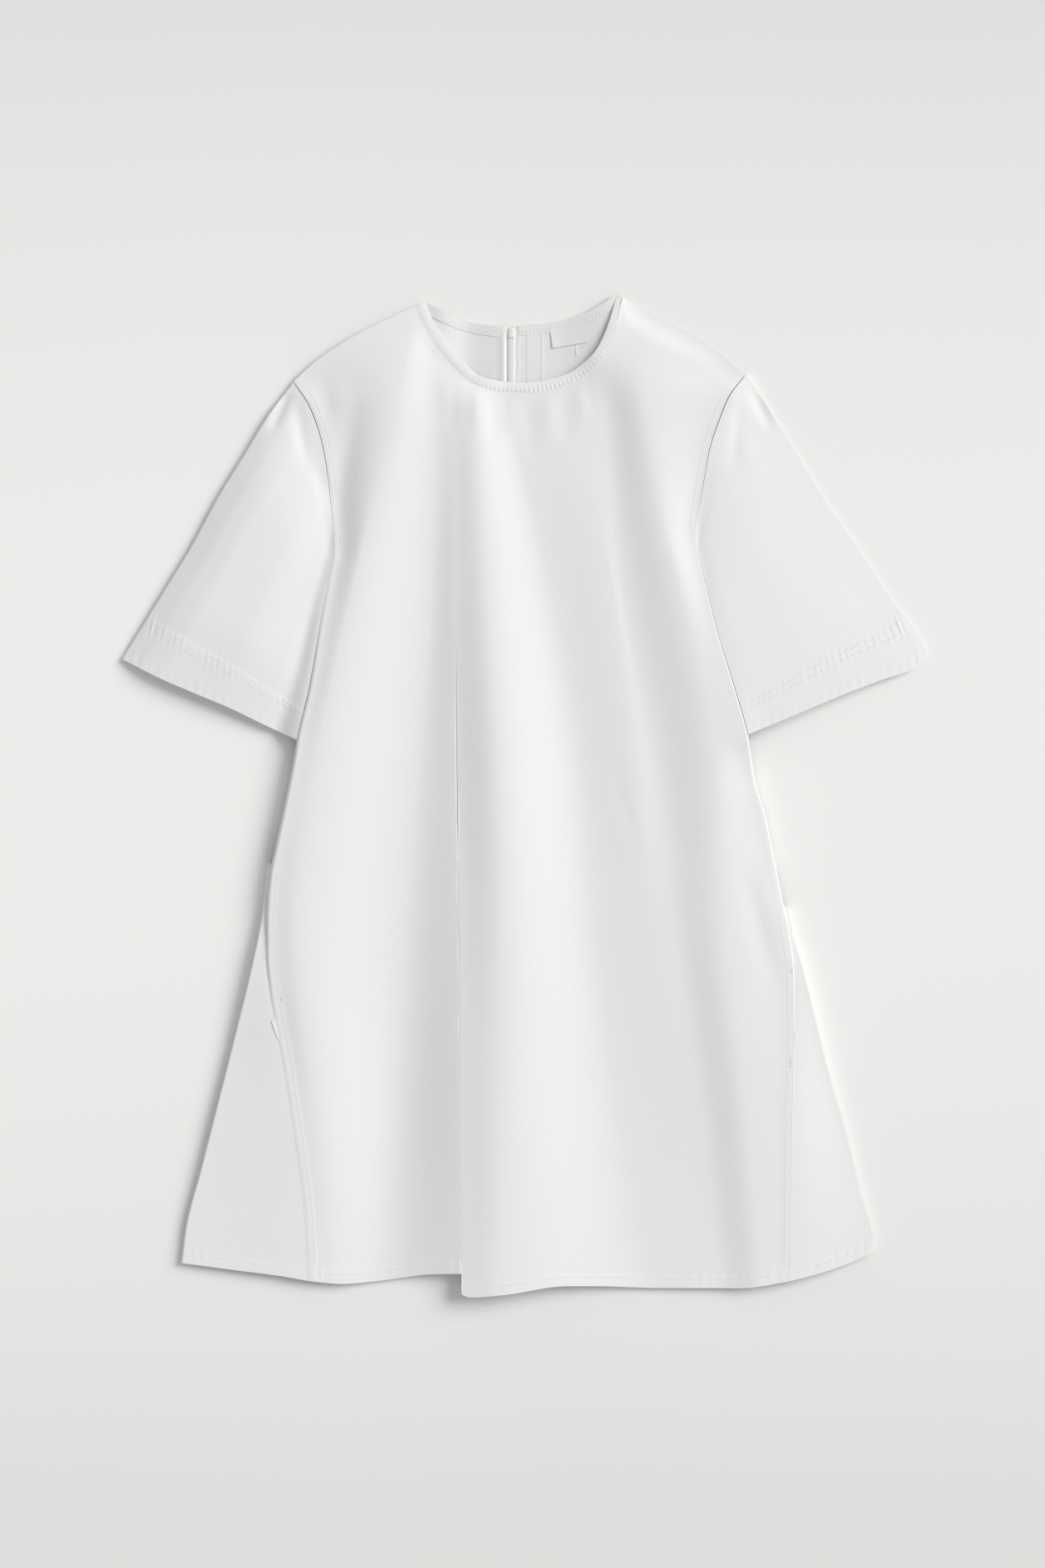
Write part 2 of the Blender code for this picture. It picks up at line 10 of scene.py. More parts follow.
import bmesh
import bpy
import numpy as np
from bpy.props import FloatProperty, FloatVectorProperty, IntProperty, PointerProperty
from mathutils import Matrix, Vector
from mathutils.bvhtree import BVHTree

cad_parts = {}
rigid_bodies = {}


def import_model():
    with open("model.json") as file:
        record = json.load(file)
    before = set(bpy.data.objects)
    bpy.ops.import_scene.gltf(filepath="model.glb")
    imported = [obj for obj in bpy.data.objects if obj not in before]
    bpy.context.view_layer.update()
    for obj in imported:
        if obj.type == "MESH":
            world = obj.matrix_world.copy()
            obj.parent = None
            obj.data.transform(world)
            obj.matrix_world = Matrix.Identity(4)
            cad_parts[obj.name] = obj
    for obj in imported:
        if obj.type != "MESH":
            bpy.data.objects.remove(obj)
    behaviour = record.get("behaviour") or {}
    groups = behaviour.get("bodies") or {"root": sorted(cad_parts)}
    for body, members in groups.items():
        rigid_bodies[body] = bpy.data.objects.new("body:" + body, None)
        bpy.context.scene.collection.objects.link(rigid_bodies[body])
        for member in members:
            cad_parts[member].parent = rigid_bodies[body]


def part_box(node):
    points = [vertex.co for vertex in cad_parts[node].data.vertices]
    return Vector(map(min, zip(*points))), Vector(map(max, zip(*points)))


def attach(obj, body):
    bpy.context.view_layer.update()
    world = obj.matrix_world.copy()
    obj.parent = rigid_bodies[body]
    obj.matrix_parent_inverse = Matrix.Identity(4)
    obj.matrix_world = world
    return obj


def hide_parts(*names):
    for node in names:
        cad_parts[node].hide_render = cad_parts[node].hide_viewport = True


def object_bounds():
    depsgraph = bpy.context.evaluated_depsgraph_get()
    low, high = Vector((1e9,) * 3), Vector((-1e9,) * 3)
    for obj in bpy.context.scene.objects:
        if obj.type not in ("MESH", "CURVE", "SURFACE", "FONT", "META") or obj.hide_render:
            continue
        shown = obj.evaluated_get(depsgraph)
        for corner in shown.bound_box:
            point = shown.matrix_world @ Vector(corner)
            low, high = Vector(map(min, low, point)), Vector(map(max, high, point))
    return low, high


bl_info = {
    "name": "Laid-flat denim dress",
    "version": (1, 0, 0),
    "blender": (4, 5, 0),
    "location": "3D View > Sidebar > Dress",
    "description": "Builds a white denim mini dress, laid flat, round its fixed model",
    "category": "Object",
}

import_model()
CAD_BOX = [list(corner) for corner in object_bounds()]

MM = 0.001
HALF_LENGTH = CAD_BOX[1][1] / MM
CAD_WALL = 1.2
SIDES = ((-1, "left"), (1, "right"))

# Gaps at the seams and beside the zip, and how far the back stays inside the gores
SEAM_GAP = 0.05
SLEEVE_GAP = 0.05
REST_GAP = 0.3
BACK_INSET = 1.7
# Shoulders: width over which the front rolls down, and its height there by side
SHOULDER_ROLL = 24.0
SHOULDER_HEIGHT = {-1: 7.0, 1: 4.2}
# Edges by side: width of the body's roll, rounding of outer edges, step from a border to its neighbour
EDGE_ROLL = {-1: 3.0, 1: 1.4}
EDGE_ROUND = {-1: 1.6, 1: 0.2}
SEAM_STEP = 0.1
# Gores: least width, turn to the underside, height kept at the outer edge when narrow and when wide
GORE_LEAST_WIDTH = 3.0
UNDER_CHAMFER = 1.5
GORE_EDGE_SHARE = {-1: (1.0, 0.72), 1: (1.0, 0.48)}
GORE_WIDE = 50.0
# Centre back: x of the zip, top of its tapes, x of the left tape's fold
CENTRE_BACK = -11.4
ZIP_TAPE_TOP = 34.0
TAPE_FOLD = -17.4
# Widths of the raised bands and turned hems, and how far in from their edges the stitches run
ARM_BAND = 7.0
GORE_BAND = 8.0
SEAM_ROW = 1.4
BAND_ROW = 1.3
HEM_DEPTH = 9.0
HEM_ROW = 1.2
CUFF_DEPTH = 34.0
CUFF_ROWS = (1.2, 7.0)
# Drop between the armhole bands above and the gore bands below
MID_BODY = 300.0

# Lapped fold of the front, and how it closes on its way down
FOLD_START = 270.0
FOLD_CLOSED = 520.0
FOLD_RADIUS = 0.55
FOLD_LAP = 12.0

# Shoulder seams, columns: x, drop
SHOULDER_LEFT = ((-200.6, 76), (-180.3, 57.7), (-149.1, 37.4), (-112.3, 19), (-86.5, 7))
SHOULDER_RIGHT = ((80.6, 0), (99, 11), (121, 22.8), (154, 39.4), (179, 59.2), (192, 70))
# Finished neck edges, columns: x, drop
NECK_FRONT = ((-86.5, 7), (-79.5, 23), (-64, 47), (-51.6, 61), (-37.5, 72), (-16.5, 76.6), (1, 77.4),
              (18.4, 75.3), (36, 70), (50, 61.3), (62.2, 49), (71, 31.4), (80.6, 0))
NECK_BACK = ((-86.5, 7), (-69, 16), (-51.5, 22.8), (-34, 26.7), (-18.3, 28.1), (1, 26.8),
             (27.2, 23.7), (50, 17.6), (67.5, 8.9), (80.6, 0))
# Sides of the front panel, columns: drop, x. Armhole seam, then body edge, then gore seam
BORDER_LEFT = ((76, -200.6), (99, -186), (126, -176.6), (156, -171), (190, -167.5), (220, -165),
               (250, -170), (281, -176), (342, -186.5), (386, -197), (421, -204), (451, -210.2),
               (481, -216.6), (507, -221.6), (545, -224.2), (575, -224), (605, -221), (631, -216.5),
               (683, -207), (757, -196), (794, -191.5), (857, -187.8))
BORDER_RIGHT = ((70, 192), (89, 177.5), (109, 169), (135, 160.6), (162, 155.7), (192, 150.8),
                (212, 149.1), (261, 159), (298, 168.2), (344, 182.3), (383, 193.3), (423, 200.4),
                (451, 208.7), (478, 214.5), (518, 222.2), (552, 229), (589, 234), (640, 234.5),
                (760, 232.5), (856, 232))
# Outer edges of the side gores, columns: drop, x
OUTLINE_LEFT = ((451, -210.6), (481, -218), (507, -224), (546, -229.7), (589, -238.6),
                (631, -248.9), (683, -262), (764, -282.8), (809, -294.6), (842, -299))
OUTLINE_RIGHT = ((478, 214.7), (518, 223.5), (552, 231), (580, 239.7), (614, 248.5), (662, 260.3),
                 (729, 279.3), (779, 292), (825, 303.2), (833, 302.4))
# Height of the front panel's side borders, columns: drop, height
RISE_LEFT = ((76, 3.6), (95, 6), (195, 6.4), (240, 8.4), (320, 11), (387, 11.7), (405, 4), (425, 1.8),
             (460, 3), (500, 6), (540, 8.5), (580, 10), (610, 10.6), (700, 10.6), (800, 8), (857, 6))
RISE_RIGHT = ((70, 3), (90, 6.5), (190, 7.4), (232, 9.3), (320, 12.6), (383, 13), (402, 5), (425, 1.8),
              (470, 2), (510, 4), (550, 7), (600, 10), (700, 11), (800, 9), (857, 7))
# How far the roll beside a border stands above it, columns: drop, height
ROLL_LEFT = ((76, 0.1), (200, 0.2), (240, 0.4), (320, 1), (387, 1.6), (405, 9.8), (425, 12),
             (460, 10.7), (500, 7), (540, 4), (580, 1.8), (640, 0.4), (857, 0.1))
ROLL_RIGHT = ((70, 0.1), (190, 0.2), (232, 0.3), (320, 0.6), (383, 0.8), (402, 6.5), (425, 8),
              (470, 7.5), (510, 6), (550, 3.6), (600, 0.8), (700, 0.3), (857, 0.1))
# How far a gore reaches on the underside, columns: drop, width
UNDER_WIDTH = ((455, 0), (490, 6), (520, 14), (600, 34), (700, 62), (857, 108))
# Hem of the front, columns: x, drop, on each side of the lapped fold
HEM_LEFT = ((-299, 842), (-245, 849), (-209, 853.6), (-187, 857.5), (-157, 860.2), (-127, 858),
            (-81, 851.6), (-41, 850))
HEM_RIGHT = ((-57, 867), (-48, 870.8), (-18, 868.5), (35, 861.5), (62, 862), (116, 864),
             (182, 864), (225, 858.5), (256, 851), (283, 842), (303, 833))
HEM_BACK = ((-299, 839), (-245, 845), (-186, 852), (-60, 846), (0, 856), (110, 858), (182, 858),
            (225, 853), (303, 828))

# Folds of the front, each a line down the panel, columns: drop, x, height
CREST_LEFT = ((10, -95, 5), (100, -112, 14.5), (250, -147, 15), (400, -179, 16), (550, -199, 15.5),
              (700, -184, 13), (857, -170, 7))
VALLEY_LEFT = ((40, -79, 6), (100, -76, 9.5), (250, -81, 7), (400, -92, 5.5), (550, -104, 4.6),
               (700, -112, 3.6), (857, -122, 3))
LAP_LINE = ((62, -66, 6.5), (100, -62, 10.5), (250, -60, 10.5), (400, -59, 11.2), (550, -57, 13.6),
            (700, -56, 15.3), (857, -55, 13.5))
CREST_MIDDLE = ((76, -42, 6.5), (100, -43, 11.5), (250, -34, 15), (400, -24, 18.5), (550, -19, 20),
                (700, -21, 19.6), (868, -24, 16.5))
VALLEY_MIDDLE = ((85, -14, 6), (100, -12, 6), (250, 21, 6), (400, 47, 6), (550, 61, 7.5),
                 (700, 80, 6), (864, 109, 4))
CREST_SMALL = ((80, 36, 6.2), (100, 42, 6.5), (250, 75, 8.6), (400, 96, 9), (550, 114, 10),
               (700, 132, 7.5), (864, 147, 4.8))
VALLEY_RIGHT = ((55, 64, 10), (100, 69, 6.8), (250, 84, 8.2), (400, 111, 8.5), (550, 130, 10.3),
                (700, 154, 8.5), (864, 172, 5.2))
CREST_RIGHT = ((6, 89, 7), (100, 104, 12.5), (200, 120, 13.8), (250, 133, 14.8), (400, 165, 15),
               (550, 171, 15), (700, 190, 13.5), (860, 205, 9))

# Grid of each cloth panel: columns from one fold line to the next, and rows
FRONT_COLUMNS = (10, 12, 14, 34, 26, 10, 18, 13, 11, 13, 12, 10)
FRONT_ROWS = 220
LAP_CROWDING = (0.7, 0.88)
GORE_TOP_COLUMNS = 42
GORE_UNDER_COLUMNS = 10
GORE_ROWS = 110
SLEEVE_TOP_COLUMNS = 150
SLEEVE_UNDER_COLUMNS = 12
SLEEVE_ROWS = 140
BACK_COLUMNS = 60
BACK_ROWS = 120
BINDING_COLUMNS = 440
BACK_BINDING_COLUMNS = 90
BINDING_ROWS = 14
STRIP_COLUMNS = 48
STRIP_FOLD_COLUMN = 28
STRIP_ROWS = 150
LABEL_COLUMNS = 16
LABEL_ROWS = 12
BAG_COLUMNS = 20
BAG_ROWS = 24
SLIVER_COLUMNS = 6

# Sleeve outlines, columns: x, drop
SLEEVE_EDGE_LEFT = ((-201.5, 76), (-222.7, 104), (-243, 137), (-267, 176), (-291.4, 221),
                    (-309, 249.5), (-332.4, 287.5), (-350.6, 317))
SLEEVE_EDGE_RIGHT = ((192.9, 70), (203.8, 85.6), (220.4, 112), (243.6, 149), (263.5, 182),
                     (286.7, 215), (318.5, 264), (345, 300), (350.6, 312))
CUFF_LEFT = ((-350.6, 317), (-317, 334), (-287, 347), (-256, 360), (-226, 374.6), (-198, 387.5))
CUFF_RIGHT = ((350.6, 312), (340.4, 324.5), (308, 336.5), (276.2, 348.7), (235, 366), (193.9, 383))
UNDERARM = {-1: 220.0, 1: 212.0}
GORE_TOP = {-1: 495.0, 1: 533.0}
# Sleeve height from outer edge to underarm seam, rows: share down, then height at each station
SLEEVE_STATIONS = (0.0, 0.05, 0.13, 0.25, 0.5, 0.8, 0.9, 1.0)
SLEEVE_RISE_LEFT = ((0, 5.5, 6.3, 6.8, 7, 6.8, 6.8, 6.5, 6.2), (0.35, 5, 8, 12, 14, 13.5, 9.5, 8.4, 10),
                    (0.7, 5, 8, 12, 14.4, 14.4, 10.2, 8.4, 12), (1, 3.5, 5.5, 8.4, 10, 9.8, 7, 5.4, 9))
SLEEVE_RISE_RIGHT = ((0, 2.4, 3.2, 4.6, 6.5, 7.8, 8.5, 8.5, 8),
                     (0.35, 1.8, 2.7, 4.2, 6.3, 9.8, 12, 12.5, 12.5),
                     (0.7, 1.8, 2.8, 4.4, 6.8, 10.5, 13.2, 13.9, 14.3),
                     (1, 1.8, 2.6, 4, 6, 9.2, 11.8, 12.5, 13))

# Lift of the back's inner face inside the neck, columns: x, height
BACK_LIFT = ((-110, 0), (-90, 1.4), (-72, 3.6), (-47, 0), (-18.5, 1.5), (-17.3, 1.5), (-15.6, 0.2), (0, 0.2),
             (14, 0), (28, 0.2), (72, 3.8), (95, 1.2), (110, 0))

# Small creases, columns: x and drop of one end, x and drop of the other, height, width
CREASES = ((78, 415, 99, 473, -0.4, 7), (88, 430, 106, 480, 0.35, 6), (193, 509, 218, 603, -0.8, 9),
           (205, 500, 224, 590, 0.6, 8), (-41, 84, -43, 118, 0.6, 5), (-27, 88, -28, 132, -0.7, 6),
           (-12, 90, -12, 122, 0.5, 5), (4, 90, 5, 136, -0.7, 6), (20, 88, 22, 124, 0.6, 5),
           (34, 84, 38, 130, -0.6, 6), (48, 78, 52, 112, 0.5, 5), (-60, 76, -64, 120, -0.5, 6),
           (-182, 150, -160, 190, -0.6, 7), (-146, 85, -166, 215, -1.8, 11),
           (160, 150, 140, 190, -0.6, 7),
           (-205, 86, -220, 118, -2.0, 5), (-212, 88, -232, 116, 0.6, 6), (-198, 94, -190, 150, -1.1, 6),
           (-178, 80, -166, 108, -1.2, 5), (198, 84, 214, 116, -1.3, 5), (188, 92, 180, 150, -0.8, 6))

# Bar tacks at the ends of the pockets, columns: x, drop, sideways run for each unit down, length
BAR_TACKS = ((-210.5, 613, 0.12, 5), (-198, 690, 0.12, 8), (231.5, 588, 0, 5), (231, 668, 0, 8))
# Slivers of pocket facing that show outside the seam, columns: side, top drop, length, width
FACING_SLIVERS = ((-1, 629, 19, 4.0), (1, 640, 14, 1.8))


def slope_between(a, b):
    """Slope of a curve where two slopes meet, flat at a crest or a valley."""
    return 2 * a * b / (a + b) if a * b > 0 else 0.0


def ease(value):
    """Soft step from 0 to 1."""
    value = min(max(value, 0.0), 1.0)
    return value * value * (3 - 2 * value)


def mix(a, b, f):
    """Value at a share f of the way from a to b."""
    return a + (b - a) * f


def bell(distance, width):
    """Soft bump that falls from 1 at its middle."""
    return math.exp(-(distance / width) ** 2)


def rounded(distance, radius):
    """Share of the full height at a distance in from a rounded edge."""
    away = 1 - min(distance / radius, 1.0)
    return math.sqrt(1 - away * away)


class Curve:
    """Smooth curve through one column of a table, looked up at even steps."""

    def __init__(self, table, column=1, step=1.0):
        keys = [float(row[0]) for row in table]
        values = [float(row[column]) for row in table]
        slopes = [(b - a) / (q - p) for a, b, p, q in zip(values, values[1:], keys, keys[1:])]
        ends = [slopes[0]] + [slope_between(a, b) for a, b in zip(slopes, slopes[1:])] + [slopes[-1]]
        self.start = keys[0]
        self.count = max(int((keys[-1] - keys[0]) / step), 1)
        self.step = (keys[-1] - keys[0]) / self.count
        self.values = []
        for k in range(self.count + 1):
            key = min(self.start + k * self.step, keys[-1])
            i = min(max(int(np.searchsorted(keys, key)) - 1, 0), len(keys) - 2)
            span = keys[i + 1] - keys[i]
            f = (key - keys[i]) / span
            rise = values[i + 1] - values[i]
            a = ends[i] * span
            b = ends[i + 1] * span
            self.values.append(values[i] + a * f + (3 * rise - 2 * a - b) * f ** 2
                               + (a + b - 2 * rise) * f ** 3)

    def __call__(self, key):
        at = min(max((key - self.start) / self.step, 0.0), self.count - 1e-6)
        i = int(at)
        return self.values[i] + (self.values[i + 1] - self.values[i]) * (at - i)


class FoldLine:
    """Crest or valley that runs down the front: x and height at a drop."""

    def __init__(self, table):
        self.x = Curve(table)
        self.height = Curve(table, 2)

    def __call__(self, drop):
        return self.x(drop), self.height(drop)


def path_lengths(points):
    """Distance along a path at each of its points."""
    lengths = [0.0]
    for a, b in zip(points, points[1:]):
        lengths.append(lengths[-1] + math.dist(a, b))
    return lengths


class Path:
    """Smooth plan path through given points, by its share of length."""

    def __init__(self, points):
        lengths = path_lengths(points)
        self.length = lengths[-1]
        self.axes = [Curve([(s, p[k]) for s, p in zip(lengths, points)], step=0.5) for k in (0, 1)]

    def __call__(self, share):
        return self.axes[0](share * self.length), self.axes[1](share * self.length)

    def even(self, count):
        """Evenly spaced points along the path."""
        return [self(i / (count - 1)) for i in range(count)]


def offset_path(points, distance):
    """Path moved sideways, down and outwards when it runs from left to right round a neck."""
    moved = []
    for i, (x, drop) in enumerate(points):
        a = points[max(i - 1, 0)]
        b = points[min(i + 1, len(points) - 1)]
        length = math.dist(a, b)
        moved.append((x - distance * (b[1] - a[1]) / length, drop + distance * (b[0] - a[0]) / length))
    return moved


class Outline:
    """Drop of a top or hem edge at an x."""

    def __init__(self, points):
        self.x = [p[0] for p in points]
        self.drop = [p[1] for p in points]

    def __call__(self, x):
        return float(np.interp(x, self.x, self.drop))


NECK_BAND = 9.0
NECK_LINE = Path(NECK_FRONT).even(241)
NECK_SEAM = offset_path(NECK_LINE, NECK_BAND)
BACK_LINE = Path(NECK_BACK).even(201)
BACK_BAND = offset_path(BACK_LINE, NECK_BAND)
SHOULDERS = (Path(SHOULDER_LEFT).even(60), Path(SHOULDER_RIGHT).even(60))
NECK_INNER = [p for p in offset_path(NECK_LINE, NECK_BAND - 2.5) if p[1] > 11 or abs(p[0]) < 60]
FRONT_TOP = Outline([p for p in SHOULDERS[0] if p[0] < NECK_INNER[0][0] - 1] + NECK_INNER
                    + [p for p in SHOULDERS[1] if p[0] > NECK_INNER[-1][0] + 1])
BACK_TOP = Outline(SHOULDERS[0][:-1] + BACK_LINE + SHOULDERS[1][1:])
BORDER_X = {-1: Curve(BORDER_LEFT), 1: Curve(BORDER_RIGHT)}
RISE = {-1: Curve(RISE_LEFT), 1: Curve(RISE_RIGHT)}
ROLL = {-1: Curve(ROLL_LEFT), 1: Curve(ROLL_RIGHT)}
OUTER_X = {-1: Curve(OUTLINE_LEFT), 1: Curve(OUTLINE_RIGHT)}
UNDER = Curve(UNDER_WIDTH)
HEM = {-1: Curve(HEM_LEFT), 1: Curve(HEM_RIGHT)}
HEM_OF_BACK = Curve(HEM_BACK)
BACK_LIFT_AT = Curve(BACK_LIFT)
BACK_MIDDLE = next(i for i, p in enumerate(BACK_LINE) if p[0] > CENTRE_BACK)
LAP = FoldLine(LAP_LINE)
VALLEY_BEFORE_LAP = FoldLine(VALLEY_LEFT)
CREST_AFTER_LAP = FoldLine(CREST_MIDDLE)


def lap_shape(drop):
    """Turn angle, arc length and straight run of the lapped fold's section."""
    share = ease((drop - FOLD_START) / (FOLD_CLOSED - FOLD_START))
    growth = ease((share - 0.84) / 0.16)
    arc = mix(0.3, math.pi * FOLD_RADIUS, growth)
    return max(math.pi * share, 0.02), arc, mix(0.3, FOLD_LAP, growth), share


def lap_point(drop, f):
    """Place in the lapped fold's section, from its lower end at f = 0 to its upper end at 1."""
    turn, arc, run, _ = lap_shape(drop)
    radius = arc / turn
    if f < 0.4:
        angle = turn * f / 0.4
        return radius * math.sin(angle), radius * (1 - math.cos(angle))
    corner = (radius * math.sin(turn), radius * (1 - math.cos(turn)))
    if f <= 0.6:
        s = run * (f - 0.4) / 0.2
        return corner[0] + s * math.cos(turn), corner[1] + s * math.sin(turn)
    angle = turn * (1 - f) / 0.4
    x = corner[0] * 2 + run * math.cos(turn) - radius * math.sin(angle)
    return x, corner[1] * 2 + run * math.sin(turn) - radius * (1 - math.cos(angle))


def lap_start(drop):
    """Lower end of the lapped fold, hidden under it, with its visible edge on the lap line."""
    _, arc, run, share = lap_shape(drop)
    x, height = LAP(drop)
    return x + mix(-arc, run + FOLD_RADIUS, share), height - lap_sink(drop)


def lap_sink(drop):
    """How far the lower layer sinks under the fold, so that both lie level at the lap line."""
    return max(lap_point(drop, 1.0)[1] - 0.12, 0.0)


def lap_tilt(drop):
    """Rise of the cloth across the lap line where the fold has not begun."""
    (x0, z0), (x1, z1) = VALLEY_BEFORE_LAP(drop), CREST_AFTER_LAP(drop)
    return (z1 - z0) / (x1 - x0) * (1 - lap_shape(drop)[3])


def lap_end(drop):
    """Upper end of the lapped fold."""
    x, height = lap_start(drop)
    end = lap_point(drop, 1.0)
    return x + end[0], height + end[1] + lap_tilt(drop) * end[0]


def border(side, drop):
    """Place of a side border of the front panel."""
    return BORDER_X[side](drop), RISE[side](drop) + CAD_WALL


def roll(side, drop):
    """Top of the roll beside a border."""
    x, height = border(side, drop)
    return x - side * EDGE_ROLL[side], height + ROLL[side](drop)


# Fold lines of the front from left to right, and the drop at which each meets the top edge
FRONT_LINES = (lambda d: border(-1, d), lambda d: roll(-1, d), FoldLine(CREST_LEFT),
               VALLEY_BEFORE_LAP, lap_start, lap_end, CREST_AFTER_LAP,
               FoldLine(VALLEY_MIDDLE), FoldLine(CREST_SMALL), FoldLine(VALLEY_RIGHT),
               FoldLine(CREST_RIGHT), lambda d: roll(1, d), lambda d: border(1, d))
FRONT_LINE_TOPS = (76, 72, 10, 40, 62, 62, 76, 85, 80, 55, 6, 66, 70)
LAP_SEGMENT = 4
HEM_GUESS = 857.0


def front_station(column):
    """Fold segment and share across it for a column number."""
    for segment, count in enumerate(FRONT_COLUMNS):
        if column > count:
            column -= count
            continue
        f = column / count
        if segment == LAP_SEGMENT - 1:
            place, crowding = LAP_CROWDING
            turn = 2 * math.pi
            f -= crowding / turn * (math.sin(turn * (f - place)) + math.sin(turn * place))
        return segment, f
    raise ValueError("the front has no such column")


def front_across(segment, f, drop):
    """x and height of the front at a share of one fold segment, with one slope through each line."""
    last = len(FRONT_COLUMNS) - 1
    x0, z0 = FRONT_LINES[segment](drop)
    if segment == LAP_SEGMENT:
        x, z = lap_point(drop, f)
        return x0 + x, z0 + z + lap_tilt(drop) * x
    x1, z1 = FRONT_LINES[segment + 1](drop)
    if segment in (0, last):
        side = -1 if segment == 0 else 1
        f = 1 - f if side > 0 else f
        (edge_x, edge_z), (roll_x, roll_z) = border(side, drop), roll(side, drop)
        angle = math.pi / 2 * f
        turned = ease((roll_z - edge_z) / 5.0)
        return (mix(edge_x, roll_x, mix(f, 1 - math.cos(angle), turned)),
                mix(edge_z, roll_z, math.sin(angle)))
    x = mix(x0, x1, f)
    sink = 0.0
    if segment == LAP_SEGMENT - 1:
        depth = lap_sink(drop)
        z1 += depth
        edge_x = min(LAP(drop)[0], x1)
        if x > edge_x:
            sink = depth * ease((x - edge_x) / max(min(x1 - edge_x, 1.3), 0.01))
        x1 = edge_x
        f = min((x - x0) / (x1 - x0), 1.0)
    here = (z1 - z0) / (x1 - x0)
    ends = [0.0, 0.0]
    for k, beside in enumerate((segment - 1, segment + 1)):
        beside += (2 * k - 1) * (beside == LAP_SEGMENT)
        if 0 < beside < last:
            (xa, za), (xb, zb) = FRONT_LINES[beside](drop), FRONT_LINES[beside + 1](drop)
            ends[k] = slope_between(here, (zb - za) / (xb - xa)) * (x1 - x0)
    if segment == LAP_SEGMENT - 1:
        ends[1] = mix(ends[1], here * (x1 - x0) * 1.1, lap_shape(drop)[3])
    rise = z1 - z0
    height = z0 + ends[0] * f + (3 * rise - 2 * ends[0] - ends[1]) * f ** 2
    return x, height + (ends[0] + ends[1] - 2 * rise) * f ** 3 - sink


def back_lift(x, drop):
    """Lift of everything on the back's inner face, round the neck only."""
    return BACK_LIFT_AT(x) * (1 - ease((drop - 95) / 90))


def shoulder_drop_in(x, drop, height):
    """Height lowered towards a shoulder seam."""
    beside = ease((abs(x + 3) - 84) / 14)
    near = 1 - ease((drop - FRONT_TOP(x)) / SHOULDER_ROLL)
    return mix(height, min(height, SHOULDER_HEIGHT[-1 if x < 0 else 1]), beside * near)


def crease_height(x, drop):
    """Sum of the small creases near a place."""
    height = 0.0
    for x0, d0, x1, d1, rise, width in CREASES:
        if abs(drop - (d0 + d1) / 2) > abs(d1 - d0) / 2 + 3 * width:
            continue
        span = (x1 - x0) ** 2 + (d1 - d0) ** 2
        f = ((x - x0) * (x1 - x0) + (drop - d0) * (d1 - d0)) / span
        held = min(max(f, 0.0), 1.0)
        away = math.hypot(x - mix(x0, x1, held), drop - mix(d0, d1, held))
        if away < 3 * width:
            height += rise * bell(away, width) * math.sin(math.pi * min(max(f, 0.02), 0.98)) ** 0.5
    return height


def groove(distance, depth=0.06, width=0.8):
    """Small dip along a row of stitches."""
    return -depth * bell(distance, width)


def band_relief(inward, width):
    """Raised double-stitched band beside a seam, by the distance in from the seam."""
    if inward > width + 3:
        return 0.0
    raised = 0.2 * (1 - ease((inward - width + 0.3) / 1.4))
    return raised + groove(inward - SEAM_ROW) + groove(inward - width + BAND_ROW)


def hem_relief(up, along):
    """Turned hem with one row of stitches, slightly puckered."""
    if up > HEM_DEPTH + 14:
        return 0.0
    pucker = math.sin(along / 1.35) + 0.6 * math.sin(along / 0.83 + 1.3)
    raised = 0.4 * (1 - ease((up - HEM_DEPTH + 0.5) / 1.5))
    return raised + groove(up - HEM_DEPTH + HEM_ROW) + 0.1 * pucker * bell(up - HEM_DEPTH, 5)


def cuff_relief(up, along):
    """Deep turned cuff with two rows of stitches, puckered between them and at the edge."""
    if up > CUFF_DEPTH + 18:
        return 0.0
    slant = along + 0.45 * up
    pucker = math.sin(slant / 1.15) + 0.7 * math.sin(slant / 0.74 + 1.3)
    patchy = 0.55 + 0.45 * math.sin(along / 17.0 + 0.8) * math.sin(along / 7.3)
    raised = 0.3 * (1 - ease((up - CUFF_DEPTH + 0.5) / 1.5))
    rows = sum(groove(up - CUFF_DEPTH + row) for row in CUFF_ROWS)
    edge = 0.12 * math.sin(slant / 1.6) * bell(up - 4, 5) * patchy
    return raised + rows + 0.17 * patchy * pucker * bell(up - CUFF_DEPTH + 4, 6.5) + edge


def front_place(column, share):
    """Outer face of the front panel at a column number and a share of the way down."""
    segment, f = front_station(column)
    near_top = mix(FRONT_LINE_TOPS[segment], FRONT_LINE_TOPS[segment + 1], f)
    top = FRONT_TOP(front_across(segment, f, near_top)[0])
    if segment == LAP_SEGMENT:
        hem = mix(HEM[-1](lap_start(HEM_GUESS)[0]), HEM[1](lap_end(HEM_GUESS)[0]), f)
    else:
        hem = HEM[-1 if segment < LAP_SEGMENT else 1](front_across(segment, f, HEM_GUESS)[0])
    drop = mix(top, hem, share)
    x, height = front_across(segment, f, drop)
    height = shoulder_drop_in(x, drop, height)
    height += crease_height(x, drop)
    height += hem_relief(hem - drop, x)
    for side in (-1, 1):
        inward = (BORDER_X[side](drop) - x) * side
        seamed = max(1 - ease((drop - UNDERARM[side] + 8) / 12), ease((drop - GORE_TOP[side]) / 12))
        height += seamed * band_relief(inward, ARM_BAND if drop < MID_BODY else GORE_BAND)
    return x, drop, height


